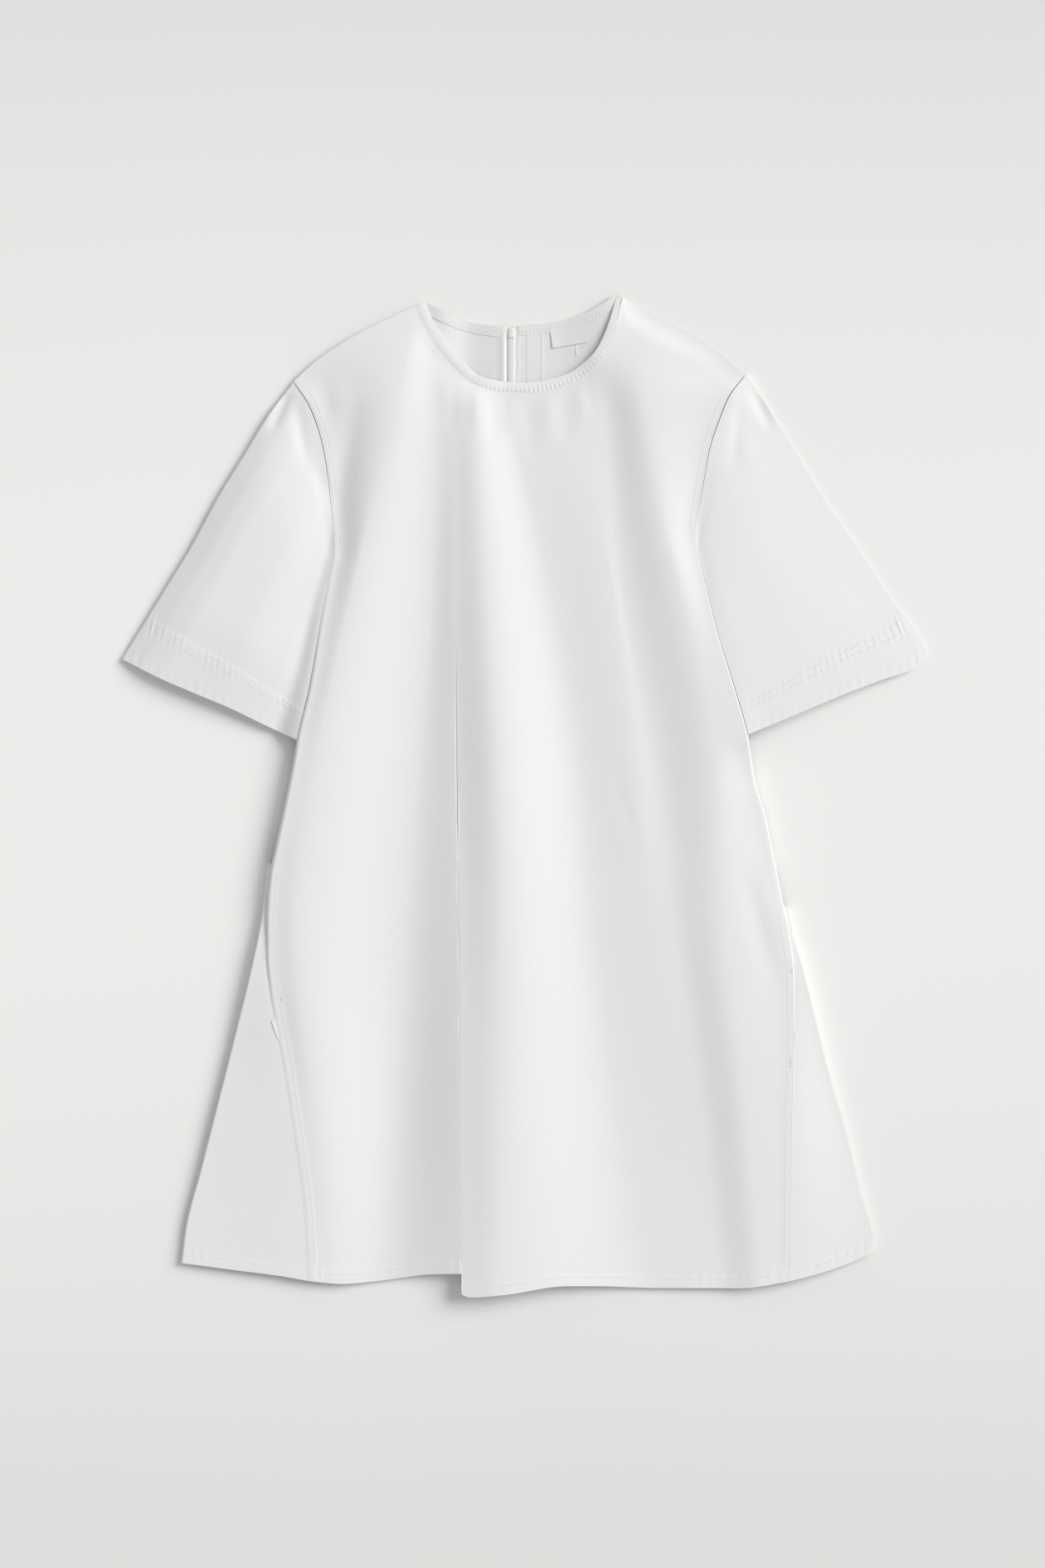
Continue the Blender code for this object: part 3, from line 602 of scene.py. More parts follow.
def front_height(x, drop):
    """Height of the front panel's outer face over a place."""
    for segment in range(len(FRONT_COLUMNS)):
        if segment == LAP_SEGMENT:
            continue
        x0, z0 = FRONT_LINES[segment](drop)
        x1, z1 = FRONT_LINES[segment + 1](drop)
        if x0 <= x <= x1:
            return shoulder_drop_in(x, drop, front_across(segment, (x - x0) / (x1 - x0), drop)[1])
    return shoulder_drop_in(x, drop, lap_start(drop)[1])


def gore_edge(side, drop):
    """Outer edge of a side gore, kept wide enough at its top for the wall to turn."""
    least = BORDER_X[side](drop) * side + SEAM_GAP + GORE_LEAST_WIDTH
    return side * max(OUTER_X[side](drop) * side, least)


def gore_under(side, drop):
    """How far a gore reaches on the underside."""
    return UNDER(drop if side < 0 else drop - 34)


def gore_place(side, column, share):
    """Outer face of a side gore: seam, rounded edge, then the flat underside to the back seam."""
    top_share = min(column / GORE_TOP_COLUMNS, 1.0)
    under_share = max((column - GORE_TOP_COLUMNS) / GORE_UNDER_COLUMNS, 0.0)
    angle = math.pi / 2 * top_share
    across = math.sin(angle) ** 0.8
    hem = HEM[side](mix(BORDER_X[side](HEM_GUESS), OUTER_X[side](HEM_GUESS), across))
    drop = mix(GORE_TOP[side], hem, share)
    seam_x, seam_height = border(side, drop)
    seam_x += side * SEAM_GAP
    edge_x = gore_edge(side, drop)
    if under_share > 0:
        reach = mix(UNDER_CHAMFER, max(gore_under(side, drop), UNDER_CHAMFER + 1.0), under_share)
        return edge_x - side * reach, drop, 0.0
    x = mix(seam_x, edge_x, across)
    level = seam_height + SEAM_STEP
    fall = mix(*GORE_EDGE_SHARE[side], ease(abs(edge_x - seam_x) / GORE_WIDE))
    flat = mix(level, level * fall, ease(across) * 0.5 + across * 0.5)
    height = mix(UNDER_CHAMFER, flat, rounded(abs(edge_x - x), EDGE_ROUND[side]))
    return x, drop, height + hem_relief(hem - drop, x) * (1 - top_share ** 4)


def back_border(side, drop):
    """Side border of the back panels, inside the gores' undersides."""
    under = gore_under(side, drop)
    if under <= 0:
        return BORDER_X[side](drop) - side * BACK_INSET
    return gore_edge(side, drop) - side * (under + BACK_INSET)


def back_place(side, across, share):
    """Inner face of a back panel, from the centre back outwards."""
    inner = CENTRE_BACK + side * REST_GAP
    top = BACK_TOP(mix(inner, BORDER_X[side](70), across))
    hem = HEM_OF_BACK(mix(inner, back_border(side, HEM_GUESS), across))
    drop = mix(top, hem, share)
    x = mix(inner, back_border(side, drop), across)
    return x, drop, CAD_WALL + back_lift(x, drop)


class SleevePlan:
    """Plan of a sleeve: p from outer edge to underarm seam, q from armhole to cuff."""

    def __init__(self, side):
        self.side = side
        left = side < 0
        self.edge = Path(SLEEVE_EDGE_LEFT if left else SLEEVE_EDGE_RIGHT)
        self.cuff = Path(CUFF_LEFT if left else CUFF_RIGHT)
        rise = SLEEVE_RISE_LEFT if left else SLEEVE_RISE_RIGHT
        self.rise = [Curve(rise, i + 1, 0.01) for i in range(len(SLEEVE_STATIONS))]
        self.top_drop = (SLEEVE_EDGE_LEFT if left else SLEEVE_EDGE_RIGHT)[0][1]
        self.cuff_drop = (CUFF_LEFT if left else CUFF_RIGHT)[-1][1]
        self.length = math.dist(self(0.5, 0.0), self(0.5, 1.0))
        self.sections = {}

    def seam(self, drop):
        return Vector((BORDER_X[self.side](drop) + self.side * SLEEVE_GAP, drop))

    def __call__(self, p, q):
        low = UNDERARM[self.side]
        armhole = self.seam(mix(self.top_drop, low, p))
        underarm = self.seam(mix(low, self.cuff_drop, q))
        corners = (self.seam(self.top_drop) * ((1 - p) * (1 - q)) + self.seam(low) * (p * (1 - q))
                   + Vector(self.cuff(0)) * ((1 - p) * q) + self.seam(self.cuff_drop) * (p * q))
        return (armhole * (1 - q) + Vector(self.cuff(p)) * q + Vector(self.edge(q)) * (1 - p)
                + underarm * p - corners)

    def width(self, q):
        """Distance from the outer edge to the seam."""
        return math.dist(self(0.0, q), self(1.0, q))

    def height(self, p, q):
        """Height of the sleeve's top, level with the body at the armhole."""
        if q not in self.sections:
            self.sections[q] = Curve([(s, r(q)) for s, r in zip(SLEEVE_STATIONS, self.rise)], step=0.01)
        level = RISE[self.side](mix(self.top_drop, UNDERARM[self.side], p)) + CAD_WALL + SEAM_STEP
        beside = RISE[self.side](mix(UNDERARM[self.side], self.cuff_drop, q)) + CAD_WALL + SEAM_STEP
        away = math.sin(math.pi / 2 * min((1 - p) / 0.13, 1.0))
        height = mix(beside, self.sections[q](p), away)
        return mix(level, height, ease(q / 0.12))


def sleeve_place(plan, column, share):
    """Outer face of a sleeve: underarm seam, over the top, outer edge, then the underside."""
    if column <= SLEEVE_TOP_COLUMNS:
        p = 1 - column / SLEEVE_TOP_COLUMNS
        p = mix(p, p * p, 0.85)
        x, drop = plan(p, share)
        height = mix(0.8, plan.height(p, share), rounded(p * plan.width(share), EDGE_ROUND[plan.side]))
        up = (1 - share) * plan.length
        along = p * 190.0
        height += cuff_relief(up, along) * ease(p / 0.04) + crease_height(x, drop)
        return x, drop, height
    p = (column - SLEEVE_TOP_COLUMNS - 1) / (SLEEVE_UNDER_COLUMNS - 1)
    x, drop = plan(mix(0.012, 1.0, p), share)
    return x, drop, 0.0


def on_metres(place):
    """Mesh position in metres of a place given as x, drop and height."""
    x, drop, height = place
    return Vector((x * MM, (HALF_LENGTH - drop) * MM, height * MM))


class Socket:
    """Shader value that takes part in Python expressions and adds its own Math nodes."""

    def __init__(self, finish, link):
        self.finish = finish
        self.link = link

    def maths(self, operation, *values):
        """Math node over some values."""
        return self.finish.node("ShaderNodeMath", {"operation": operation}, dict(enumerate(values)))

    def __add__(self, other):
        return self.maths("ADD", self, other)

    def __radd__(self, other):
        return self.maths("ADD", other, self)

    def __sub__(self, other):
        return self.maths("SUBTRACT", self, other)

    def __rsub__(self, other):
        return self.maths("SUBTRACT", other, self)

    def __mul__(self, other):
        return self.maths("MULTIPLY", self, other)

    def __rmul__(self, other):
        return self.maths("MULTIPLY", other, self)

    def wave(self):
        """Sine of the value."""
        return self.maths("SINE", self)

    def clamped(self):
        """Value held between 0 and 1."""
        return self.maths("MINIMUM", self.maths("MAXIMUM", self, 0.0), 1.0)


class Finish:
    """Material with a Principled shader and one way to add any other node."""

    def __init__(self, name, **constants):
        self.material = bpy.data.materials.new(name)
        self.material.use_nodes = True
        self.tree = self.material.node_tree
        self.shader = self.tree.nodes["Principled BSDF"]
        for socket, value in constants.items():
            self.shader.inputs[socket.replace("_", " ")].default_value = value

    def node(self, kind, settings=None, inputs=None, output=0):
        """Node of a type with its settings, then its sockets' values or links."""
        made = self.tree.nodes.new(kind)
        for key, value in (settings or {}).items():
            setattr(made, key, value)
        for key, value in (inputs or {}).items():
            if isinstance(value, Socket):
                self.tree.links.new(value.link, made.inputs[key])
            else:
                made.inputs[key].default_value = value
        return Socket(self, made.outputs[output])

    def feed(self, socket, value):
        """Link a value to a socket of the shader."""
        self.tree.links.new(value.link, self.shader.inputs[socket])

    def axes(self, place):
        """First and second axis of a place."""
        split = self.node("ShaderNodeSeparateXYZ", inputs={0: place})
        return split, Socket(self, split.link.node.outputs[1])

    def noise(self, place, scale, detail):
        """Soft noise over a place."""
        return self.node("ShaderNodeTexNoise", inputs={"Vector": place, "Scale": scale, "Detail": detail})

    def tint(self, share, low, high):
        """Colour at a share of the way from one colour to another."""
        return self.node("ShaderNodeMix", {"data_type": "RGBA"},
                         {0: share, 6: (*low, 1.0), 7: (*high, 1.0)}, 2)

    def emboss(self, height, strength, depth):
        """Fine relief of a height, fed to the shader."""
        bump = self.node("ShaderNodeBump",
                         inputs={"Height": height, "Strength": strength, "Distance": depth})
        self.feed("Normal", bump)


def shaded(colour, share):
    """Colour at a share of its brightness."""
    return tuple(min(c * share, 1.0) for c in colour)


def twill_finish(name, colour, roughness, pitch, depth):
    """Cotton twill: diagonal ribs, slubbed warp threads and a faint mottled bleach."""
    finish = Finish(name, Roughness=roughness, Metallic=0.0, Sheen_Weight=0.12, Sheen_Roughness=0.5,
                    Specular_IOR_Level=0.25)
    cloth = finish.node("ShaderNodeUVMap", {"uv_map": "cloth"})
    across, down = finish.axes(cloth)
    diagonal = (across + down * 1.35) * (2 * math.pi / pitch)
    ribs = (diagonal + finish.noise(cloth, 90.0, 2.0) * 4.0).wave() * 0.5 + 0.5
    stretched = finish.node("ShaderNodeMapping", inputs={"Vector": cloth, "Scale": (1400.0, 60.0, 1.0)})
    slubs = finish.noise(stretched, 1.0, 3.0)
    grain = finish.noise(cloth, 900.0, 2.0)
    mottle = finish.noise(cloth, 22.0, 4.0)
    tone = (slubs * 0.5 + ribs * 0.2 + grain * 0.3).clamped()
    weave = finish.tint(tone, shaded(colour, 0.968), shaded(colour, 1.02))
    warm = finish.node("ShaderNodeMix", {"data_type": "RGBA", "blend_type": "MULTIPLY"},
                       {0: mottle * 0.5, 6: weave, 7: (0.985, 0.985, 0.98, 1.0)}, 2)
    finish.feed("Base Color", warm)
    finish.emboss(ribs * 0.35 + slubs * 0.45 + grain * 0.2, 0.35, depth)
    return finish.material


def tape_finish(name, colour, roughness, pitch, depth):
    """Woven tape or label: fine ribs across its length."""
    finish = Finish(name, Roughness=roughness, Metallic=0.0)
    across, down = finish.axes(finish.node("ShaderNodeUVMap", {"uv_map": "cloth"}))
    turns = 2 * math.pi / pitch
    weave = (across * turns).wave() * (down * turns).wave() * 0.5 + 0.5
    finish.feed("Base Color", finish.tint(weave, shaded(colour, 0.95), colour))
    finish.emboss(weave, 0.4, depth)
    return finish.material


def thread_finish(name, colour, roughness):
    """Twisted sewing thread."""
    finish = Finish(name, Roughness=roughness, Metallic=0.0)
    twist = finish.noise(finish.node("ShaderNodeTexCoord", output=3), 1500.0, 1.0)
    finish.feed("Base Color", finish.tint(twist, shaded(colour, 0.93), colour))
    return finish.material


def floor_finish(name, colour):
    """Plain matt backdrop with painted shade: its colour darkens towards its far ends as a painted falloff
    of a soft lamp's light, with a faint random mottle.
    """
    finish = Finish(name, Roughness=0.95, Metallic=0.0, Specular_IOR_Level=0.1)
    place = finish.node("ShaderNodeTexCoord", output=3)
    off = finish.axes(place)[1] - 0.06
    # Painted shade: darker with the square of the distance from the middle along Y, as light falling off,
    # plus a faint random mottle
    shade = (off * off * 2.1 + finish.noise(place, 1.6, 1.0) * 0.15).clamped()
    finish.feed("Base Color", finish.tint(shade, colour, shaded(colour, 0.86)))
    return finish.material


class DressSizes(bpy.types.PropertyGroup):
    """Sizes that a maker would change."""

    wall: FloatProperty(name="Cloth", description="Thickness of the denim", default=0.0009,
                        min=0.0005, max=0.003, unit="LENGTH")
    trim: FloatProperty(name="Trim", description="Thickness of tapes and inner bands",
                        default=0.0004, unit="LENGTH")
    stitch: FloatProperty(name="Stitch", description="Length of one stitch", default=0.0027,
                          unit="LENGTH")
    stitch_gap: FloatProperty(name="Stitch gap", description="Cloth between two stitches",
                              default=0.0008, unit="LENGTH")
    thread: FloatProperty(name="Thread", description="Width of the sewing thread", default=0.0006,
                          unit="LENGTH")
    coil_pitch: FloatProperty(name="Coil pitch", description="Distance between the zip's coil turns",
                              default=0.0014, unit="LENGTH")


class DressColours(bpy.types.PropertyGroup):
    """Colours and weave of the cloth."""

    denim: FloatVectorProperty(name="Denim", description="Colour of the outer cloth", size=3,
                               subtype="COLOR", default=(0.83, 0.83, 0.825))
    # Inside: the outer denim made a little darker, as painted shade for the inner face seen down the neck
    inside: FloatVectorProperty(name="Inside", description="Colour of the inner face", size=3,
                                subtype="COLOR", default=(0.80, 0.80, 0.79))
    tape: FloatVectorProperty(name="Tape", description="Colour of tapes and labels", size=3,
                              subtype="COLOR", default=(0.81, 0.81, 0.80))
    thread: FloatVectorProperty(name="Thread", description="Colour of the sewing thread", size=3,
                                subtype="COLOR", default=(0.84, 0.84, 0.83))
    twill: FloatProperty(name="Twill", description="Distance between two twill ribs", default=0.0011,
                         unit="LENGTH")


class StudioSettings(bpy.types.PropertyGroup):
    """Floor, light and camera."""

    floor: FloatVectorProperty(name="Floor", description="Colour of the floor", size=3,
                               subtype="COLOR", default=(0.90, 0.90, 0.885))
    ambient: FloatProperty(name="Ambient", description="Strength of the light from all round",
                           default=0.49)
    key: FloatProperty(name="Key", description="Strength of the main light", default=2.64)
    key_softness: FloatProperty(name="Softness", description="Angle that the main light spans",
                                default=math.radians(35), subtype="ANGLE")
    key_azimuth: FloatProperty(name="Azimuth", description="Direction of the main light in plan",
                               default=math.radians(27), subtype="ANGLE")
    key_elevation: FloatProperty(name="Elevation", description="Height of the main light",
                                 default=math.radians(33), subtype="ANGLE")
    lens: FloatProperty(name="Lens", description="Focal length in millimetres", default=85.0)
    frame_height: FloatProperty(name="Frame", description="Height of the floor that the camera sees",
                                default=1.3646, unit="LENGTH")


MADE = {}


def material(name):
    """Material of the dress, made once."""
    if name in MADE:
        return MADE[name]
    colours = bpy.context.scene.dress_colours
    makers = {
        "denim": lambda: twill_finish("denim_outer", tuple(colours.denim), 0.88, colours.twill, 0.0003),
        # The inner denim is a darker copy of the outer one: painted shade for the inside of the back, its
        # bindings and facing
        "inside": lambda: twill_finish("denim_inner", tuple(colours.inside), 0.9, colours.twill, 0.0003),
        "tape": lambda: tape_finish("woven_tape", tuple(colours.tape), 0.75, 0.0009, 0.0001),
        "label": lambda: tape_finish("label_tape", tuple(colours.tape), 0.6, 0.0006, 0.00005),
        "coil": lambda: thread_finish("zip_coil", tuple(colours.tape), 0.45),
        "thread": lambda: thread_finish("sewing_thread", tuple(colours.thread), 0.7),
    }
    MADE[name] = makers[name]()
    return MADE[name]


def finish_piece(piece, finish):
    """Material and body that every piece of the dress has."""
    piece.data.materials.clear()
    piece.data.materials.append(material(finish))
    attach(piece, "root")


def link_mesh(name, shape):
    """Object made from a bmesh, at the origin."""
    mesh = bpy.data.meshes.new(name)
    shape.to_mesh(mesh)
    shape.free()
    mesh.shade_smooth()
    piece = bpy.data.objects.new(name, mesh)
    bpy.context.collection.objects.link(piece)
    return piece


def cloth_panel(name, columns, rows, place, wall, turned=False):
    """Cloth wall whose outer face follows place(column, share), with its weave's own UV map."""
    shape = bmesh.new()
    weave = shape.loops.layers.uv.new("cloth")
    bmesh.ops.create_grid(shape, x_segments=columns, y_segments=rows, size=1.0, calc_uvs=False)
    for vertex in shape.verts:
        column = round((vertex.co.x + 1) / 2 * columns)
        share = round((1 - vertex.co.y) / 2 * rows) / rows
        vertex.co = on_metres(place(column, share))
    for face in shape.faces:
        for loop in face.loops:
            loop[weave].uv = (loop.vert.co.x + loop.vert.co.z * 0.5, loop.vert.co.y)
    if turned:
        bmesh.ops.reverse_faces(shape, faces=shape.faces[:])
    piece = link_mesh(name, shape)
    thick = piece.modifiers.new("Wall", "SOLIDIFY")
    thick.thickness = wall
    thick.offset = -1.0
    edge = piece.modifiers.new("Soft edges", "BEVEL")
    edge.width = wall * 0.08
    edge.segments = 2
    edge.limit_method = "ANGLE"
    edge.angle_limit = math.radians(50)
    edge.harden_normals = True
    return piece


def surface_under(*pieces):
    """Search tree of the outer faces of finished cloth."""
    corners = []
    faces = []
    for piece in pieces:
        start = len(corners)
        corners += [vertex.co.copy() for vertex in piece.data.vertices]
        faces += [[start + i for i in face.vertices] for face in piece.data.polygons]
    return BVHTree.FromPolygons(corners, faces)


class DRESS_OT_front(bpy.types.Operator):
    """Front panel with its folds, lapped pleat, seam bands and hem"""

    bl_idname = "dress.front"
    bl_label = "Front panel"

    def execute(self, context):
        sizes = context.scene.dress_sizes
        piece = cloth_panel("front_cloth", sum(FRONT_COLUMNS), FRONT_ROWS, front_place, sizes.wall)
        finish_piece(piece, "denim")
        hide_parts("front_panel")
        return {"FINISHED"}


class DRESS_OT_gores(bpy.types.Operator):
    """Side gores, each folded round the side of the body"""

    bl_idname = "dress.gores"
    bl_label = "Side gores"

    def execute(self, context):
        sizes = context.scene.dress_sizes
        for side, word in SIDES:
            piece = cloth_panel(f"gore_cloth_{word}", GORE_TOP_COLUMNS + GORE_UNDER_COLUMNS, GORE_ROWS,
                                lambda c, t: gore_place(side, c, t), sizes.wall, side < 0)
            finish_piece(piece, "denim")
            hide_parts(f"side_gore_{word}")
        return {"FINISHED"}


class DRESS_OT_backs(bpy.types.Operator):
    """Back panels, of which the inner face shows through the neck"""

    bl_idname = "dress.backs"
    bl_label = "Back panels"

    def execute(self, context):
        sizes = context.scene.dress_sizes
        for side, word in SIDES:
            piece = cloth_panel(f"back_cloth_{word}", BACK_COLUMNS, BACK_ROWS,
                                lambda c, t: back_place(side, c / BACK_COLUMNS, t), sizes.wall, side < 0)
            finish_piece(piece, "inside")
            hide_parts(f"back_{word}")
        return {"FINISHED"}


class DRESS_OT_sleeves(bpy.types.Operator):
    """Short set-in sleeves with deep turned hems"""

    bl_idname = "dress.sleeves"
    bl_label = "Sleeves"

    def execute(self, context):
        sizes = context.scene.dress_sizes
        for side, word in SIDES:
            plan = SleevePlan(side)
            piece = cloth_panel(f"sleeve_cloth_{word}", SLEEVE_TOP_COLUMNS + SLEEVE_UNDER_COLUMNS,
                                SLEEVE_ROWS, lambda c, t: sleeve_place(plan, c, t), sizes.wall, side < 0)
            finish_piece(piece, "denim")
            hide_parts(f"sleeve_{word}")
        return {"FINISHED"}


def band_place(seam, edge, low, high, u, v):
    """Plan place on a strip between two paths of equal counts."""
    at = mix(low, high, u) * (len(seam) - 1)
    i = min(int(at), len(seam) - 2)
    outer = [mix(seam[i][k], seam[i + 1][k], at - i) for k in (0, 1)]
    inner = [mix(edge[i][k], edge[i + 1][k], at - i) for k in (0, 1)]
    keep = 1 - SEAM_GAP / NECK_BAND
    return mix(inner[0], outer[0], v * keep), mix(inner[1], outer[1], v * keep), outer


class DRESS_OT_neck(bpy.types.Operator):
    """Topstitched neck bindings, front and back"""

    bl_idname = "dress.neck"
    bl_label = "Neck bindings"

    def execute(self, context):
        sizes = context.scene.dress_sizes

        def front(column, v):
            u = column / BINDING_COLUMNS
            x, drop, outer = band_place(NECK_SEAM, NECK_LINE, 0.0, 1.0, u, v)
            drop = max(drop, BACK_TOP(x)) if abs(x) > 70 else drop
            height = front_height(*outer) - 0.5 * (1 - v) ** 2
            crown = 0.22 * math.sin(math.pi * v) ** 0.6
            ripple = 0.22 * math.sin(column * 0.98) * bell(v - 0.75, 0.25) * bell(u - 0.55, 0.3)
            return x, drop, height + 0.08 + crown + ripple + groove((v - 0.82) * NECK_BAND)

        piece = cloth_panel("binding_front", BINDING_COLUMNS, BINDING_ROWS, front, sizes.wall)
        finish_piece(piece, "denim")
        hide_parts("neck_binding_front")
        middle = BACK_MIDDLE / (len(BACK_LINE) - 1)
        for word, low, high in (("left", 0.0, middle - 0.035), ("right", middle + 0.03, 1.0)):

            def back(column, v):
                x, drop, _ = band_place(BACK_BAND, BACK_LINE, low, high, column / BACK_BINDING_COLUMNS, v)
                grooves = groove((v - 0.82) * NECK_BAND) + groove((v - 0.6) * NECK_BAND)
                return x, drop, CAD_WALL + 0.45 + back_lift(x, drop) + grooves

            piece = cloth_panel(f"binding_back_{word}", BACK_BINDING_COLUMNS, BINDING_ROWS, back, sizes.trim)
            finish_piece(piece, "inside")
            length = Path(BACK_LINE).length * (high - low) * MM
            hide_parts(f"neck_binding_back_{word}")
        return {"FINISHED"}


class DRESS_OT_centre_back(bpy.types.Operator):
    """Concealed zip, its tapes and the facing strip, seen from inside"""

    bl_idname = "dress.centre_back"
    bl_label = "Centre back"

    def execute(self, context):
        sizes = context.scene.dress_sizes
        strips = (("zip_tape_left", "tape", "zip_tape", "tape_cloth_left", 0.06, "back_cloth_left"),
                  ("zip_tape_right", "tape", "zip_tape", "tape_cloth_right", 0.06, "back_cloth_right"),
                  ("back_facing_strip", "inside", "denim_inside", "facing_cloth", 0.22, "back_cloth_right"))
        for node, finish, slot, name, above, under in strips:
            low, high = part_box(node)

            def strip(column, share):
                x = mix(low[0], high[0], column / STRIP_COLUMNS) / MM
                drop = mix(ZIP_TAPE_TOP, HALF_LENGTH - low[1] / MM, share)
                relief = above
                if node == "zip_tape_left":
                    after = column - STRIP_FOLD_COLUMN
                    x = mix(low[0] / MM, TAPE_FOLD, min(column / STRIP_FOLD_COLUMN, 1.0))
                    x += max(after, 0) * 0.27
                    relief = 0.1 if after > 0 else above + 0.75 * ease((x + 24) / 6)
                elif node == "zip_tape_right":
                    relief += 0.2 * bell(x + 5.6 + 0.7 * math.sin(drop / 3.6), 1.3)
                else:
                    relief += 0.25 * bell(x - 15.6, 1.2)
                return x, drop, CAD_WALL + 0.05 + back_lift(x, drop) + relief

            piece = cloth_panel(name, STRIP_COLUMNS, STRIP_ROWS, strip, 0.0002)
            finish_piece(piece, finish)
            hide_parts(node)
        low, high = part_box("zip_chain")
        coil = bmesh.new()
        turns = int((high[1] - low[1]) / sizes.coil_pitch)
        radii = ((high[0] - low[0]) * 0.46, sizes.coil_pitch * 1.9, (high[2] - low[2]) * 0.5, 1.0)
        for turn in range(turns):
            y = high[1] - (turn + 0.5) * sizes.coil_pitch
            place = Matrix.Translation(((low[0] + high[0]) / 2, y, low[2] - 0.0003))
            shaped = place @ Matrix.Diagonal(radii)
            bmesh.ops.create_icosphere(coil, subdivisions=2, radius=1.0, matrix=shaped)
        piece = link_mesh("zip_coil", coil)
        finish_piece(piece, "coil")
        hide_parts("zip_chain")
        low, high = (Vector(corner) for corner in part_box("zip_slider"))
        stop = bmesh.new()
        size = Matrix.Diagonal(((high.x - low.x) * 0.8, (high.y - low.y) * 0.45, high.z - low.z, 1.0))
        place = Matrix.Translation((low + high) / 2 - Vector((0.0, 0.0, 0.0018)))
        bmesh.ops.create_cube(stop, size=1.0, matrix=place @ size)
        piece = link_mesh("zip_slider_body", stop)
        soft = piece.modifiers.new("Soft edges", "BEVEL")
        soft.width = 0.0009
        soft.segments = 3
        finish_piece(piece, "coil")
        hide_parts("zip_slider")
        return {"FINISHED"}


class DRESS_OT_labels(bpy.types.Operator):
    """Bare label and size tab inside the back neck"""

    bl_idname = "dress.labels"
    bl_label = "Labels"

    def execute(self, context):
        for name, node, tilt, width, length in (("label_cloth", "label", 9.0, 31.0, 17.0),
                                                ("tab_cloth", "size_tab", 3.0, 12.5, 20.0)):
            low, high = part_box(node)
            centre = (Vector(low) + Vector(high)) / 2
            turn = Matrix.Rotation(math.radians(tilt), 3, "Z")

            def sheet(column, share):
                across = column / LABEL_COLUMNS
                flat = Vector(((across - 0.5) * width * MM, (0.5 - share) * length * MM, 0.0))
                curl = 0.2 * share ** 2 + 0.5 * bell(across, 0.14) * share
                place = centre + turn @ flat
                x, drop = place.x / MM, HALF_LENGTH - place.y / MM
                return x, drop, high[2] / MM - 1.25 + back_lift(x, drop) + curl

            piece = cloth_panel(name, LABEL_COLUMNS, LABEL_ROWS, sheet, 0.00025)
            finish_piece(piece, "label")
            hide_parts(node)
        return {"FINISHED"}


def lay_thread(shape, tree, start, end, width):
    """One flat thread between two plan places, resting on the cloth below it."""
    ends = []
    for x, drop in (start, end):
        hit, normal, _, _ = tree.ray_cast(on_metres((x, drop, 60.0)), Vector((0, 0, -1)))
        if hit is None:
            return
        ends.append((hit, normal))
    length = (ends[1][0] - ends[0][0]).length
    run = (ends[1][0] - ends[0][0]) / length
    up = (ends[0][1] + ends[1][1]) * (1 if ends[0][1].z > 0 else -1)
    side = up.cross(run).normalized()
    turn = Matrix((run, side, run.cross(side))).transposed().to_4x4()
    place = Matrix.Translation((ends[0][0] + ends[1][0]) / 2)
    size = Matrix.Diagonal((length / 2, width / 2, width * 0.06, 1.0))
    bmesh.ops.create_icosphere(shape, subdivisions=1, radius=1.0, matrix=place @ turn @ size)


def sew(shape, line, tree, sizes):
    """Row of separate stitches along a plan line."""
    lengths = path_lengths(line)
    pitch = (sizes.stitch + sizes.stitch_gap) / MM
    xs = [p[0] for p in line]
    drops = [p[1] for p in line]
    for i in range(int(lengths[-1] / pitch)):
        ends = []
        for at in (i * pitch, i * pitch + sizes.stitch / MM):
            ends.append((float(np.interp(at, lengths, xs)), float(np.interp(at, lengths, drops))))
        lay_thread(shape, tree, *ends, sizes.thread)


def bar_tack(shape, tree, x, drop, slope, length, sizes):
    """Dense short threads side by side, centred on a plan place and running down the seam."""
    count = int(length / 0.8)
    for i in range(count):
        along = (i + 0.5) / count * length - length / 2
        middle = (x + along * slope, drop + along)
        lay_thread(shape, tree, (middle[0] - 1.3, middle[1]), (middle[0] + 1.3, middle[1]), sizes.thread)


def border_line(side, low, high, inward):
    """Plan line beside a seam or border of the front, some way in from it."""
    line = []
    drop = low
    while drop <= high:
        slope = BORDER_X[side](drop + 2) - BORDER_X[side](drop - 2)
        across = inward * math.hypot(slope, 4) / 4
        line.append((BORDER_X[side](drop) - side * across, drop))
        drop += 4
    return line


def hem_line(side, low, high):
    """Plan line of the hem's stitches from one x to another."""
    return [(x, HEM[side](x) - HEM_DEPTH + HEM_ROW) for x in range(low, high, 4)]


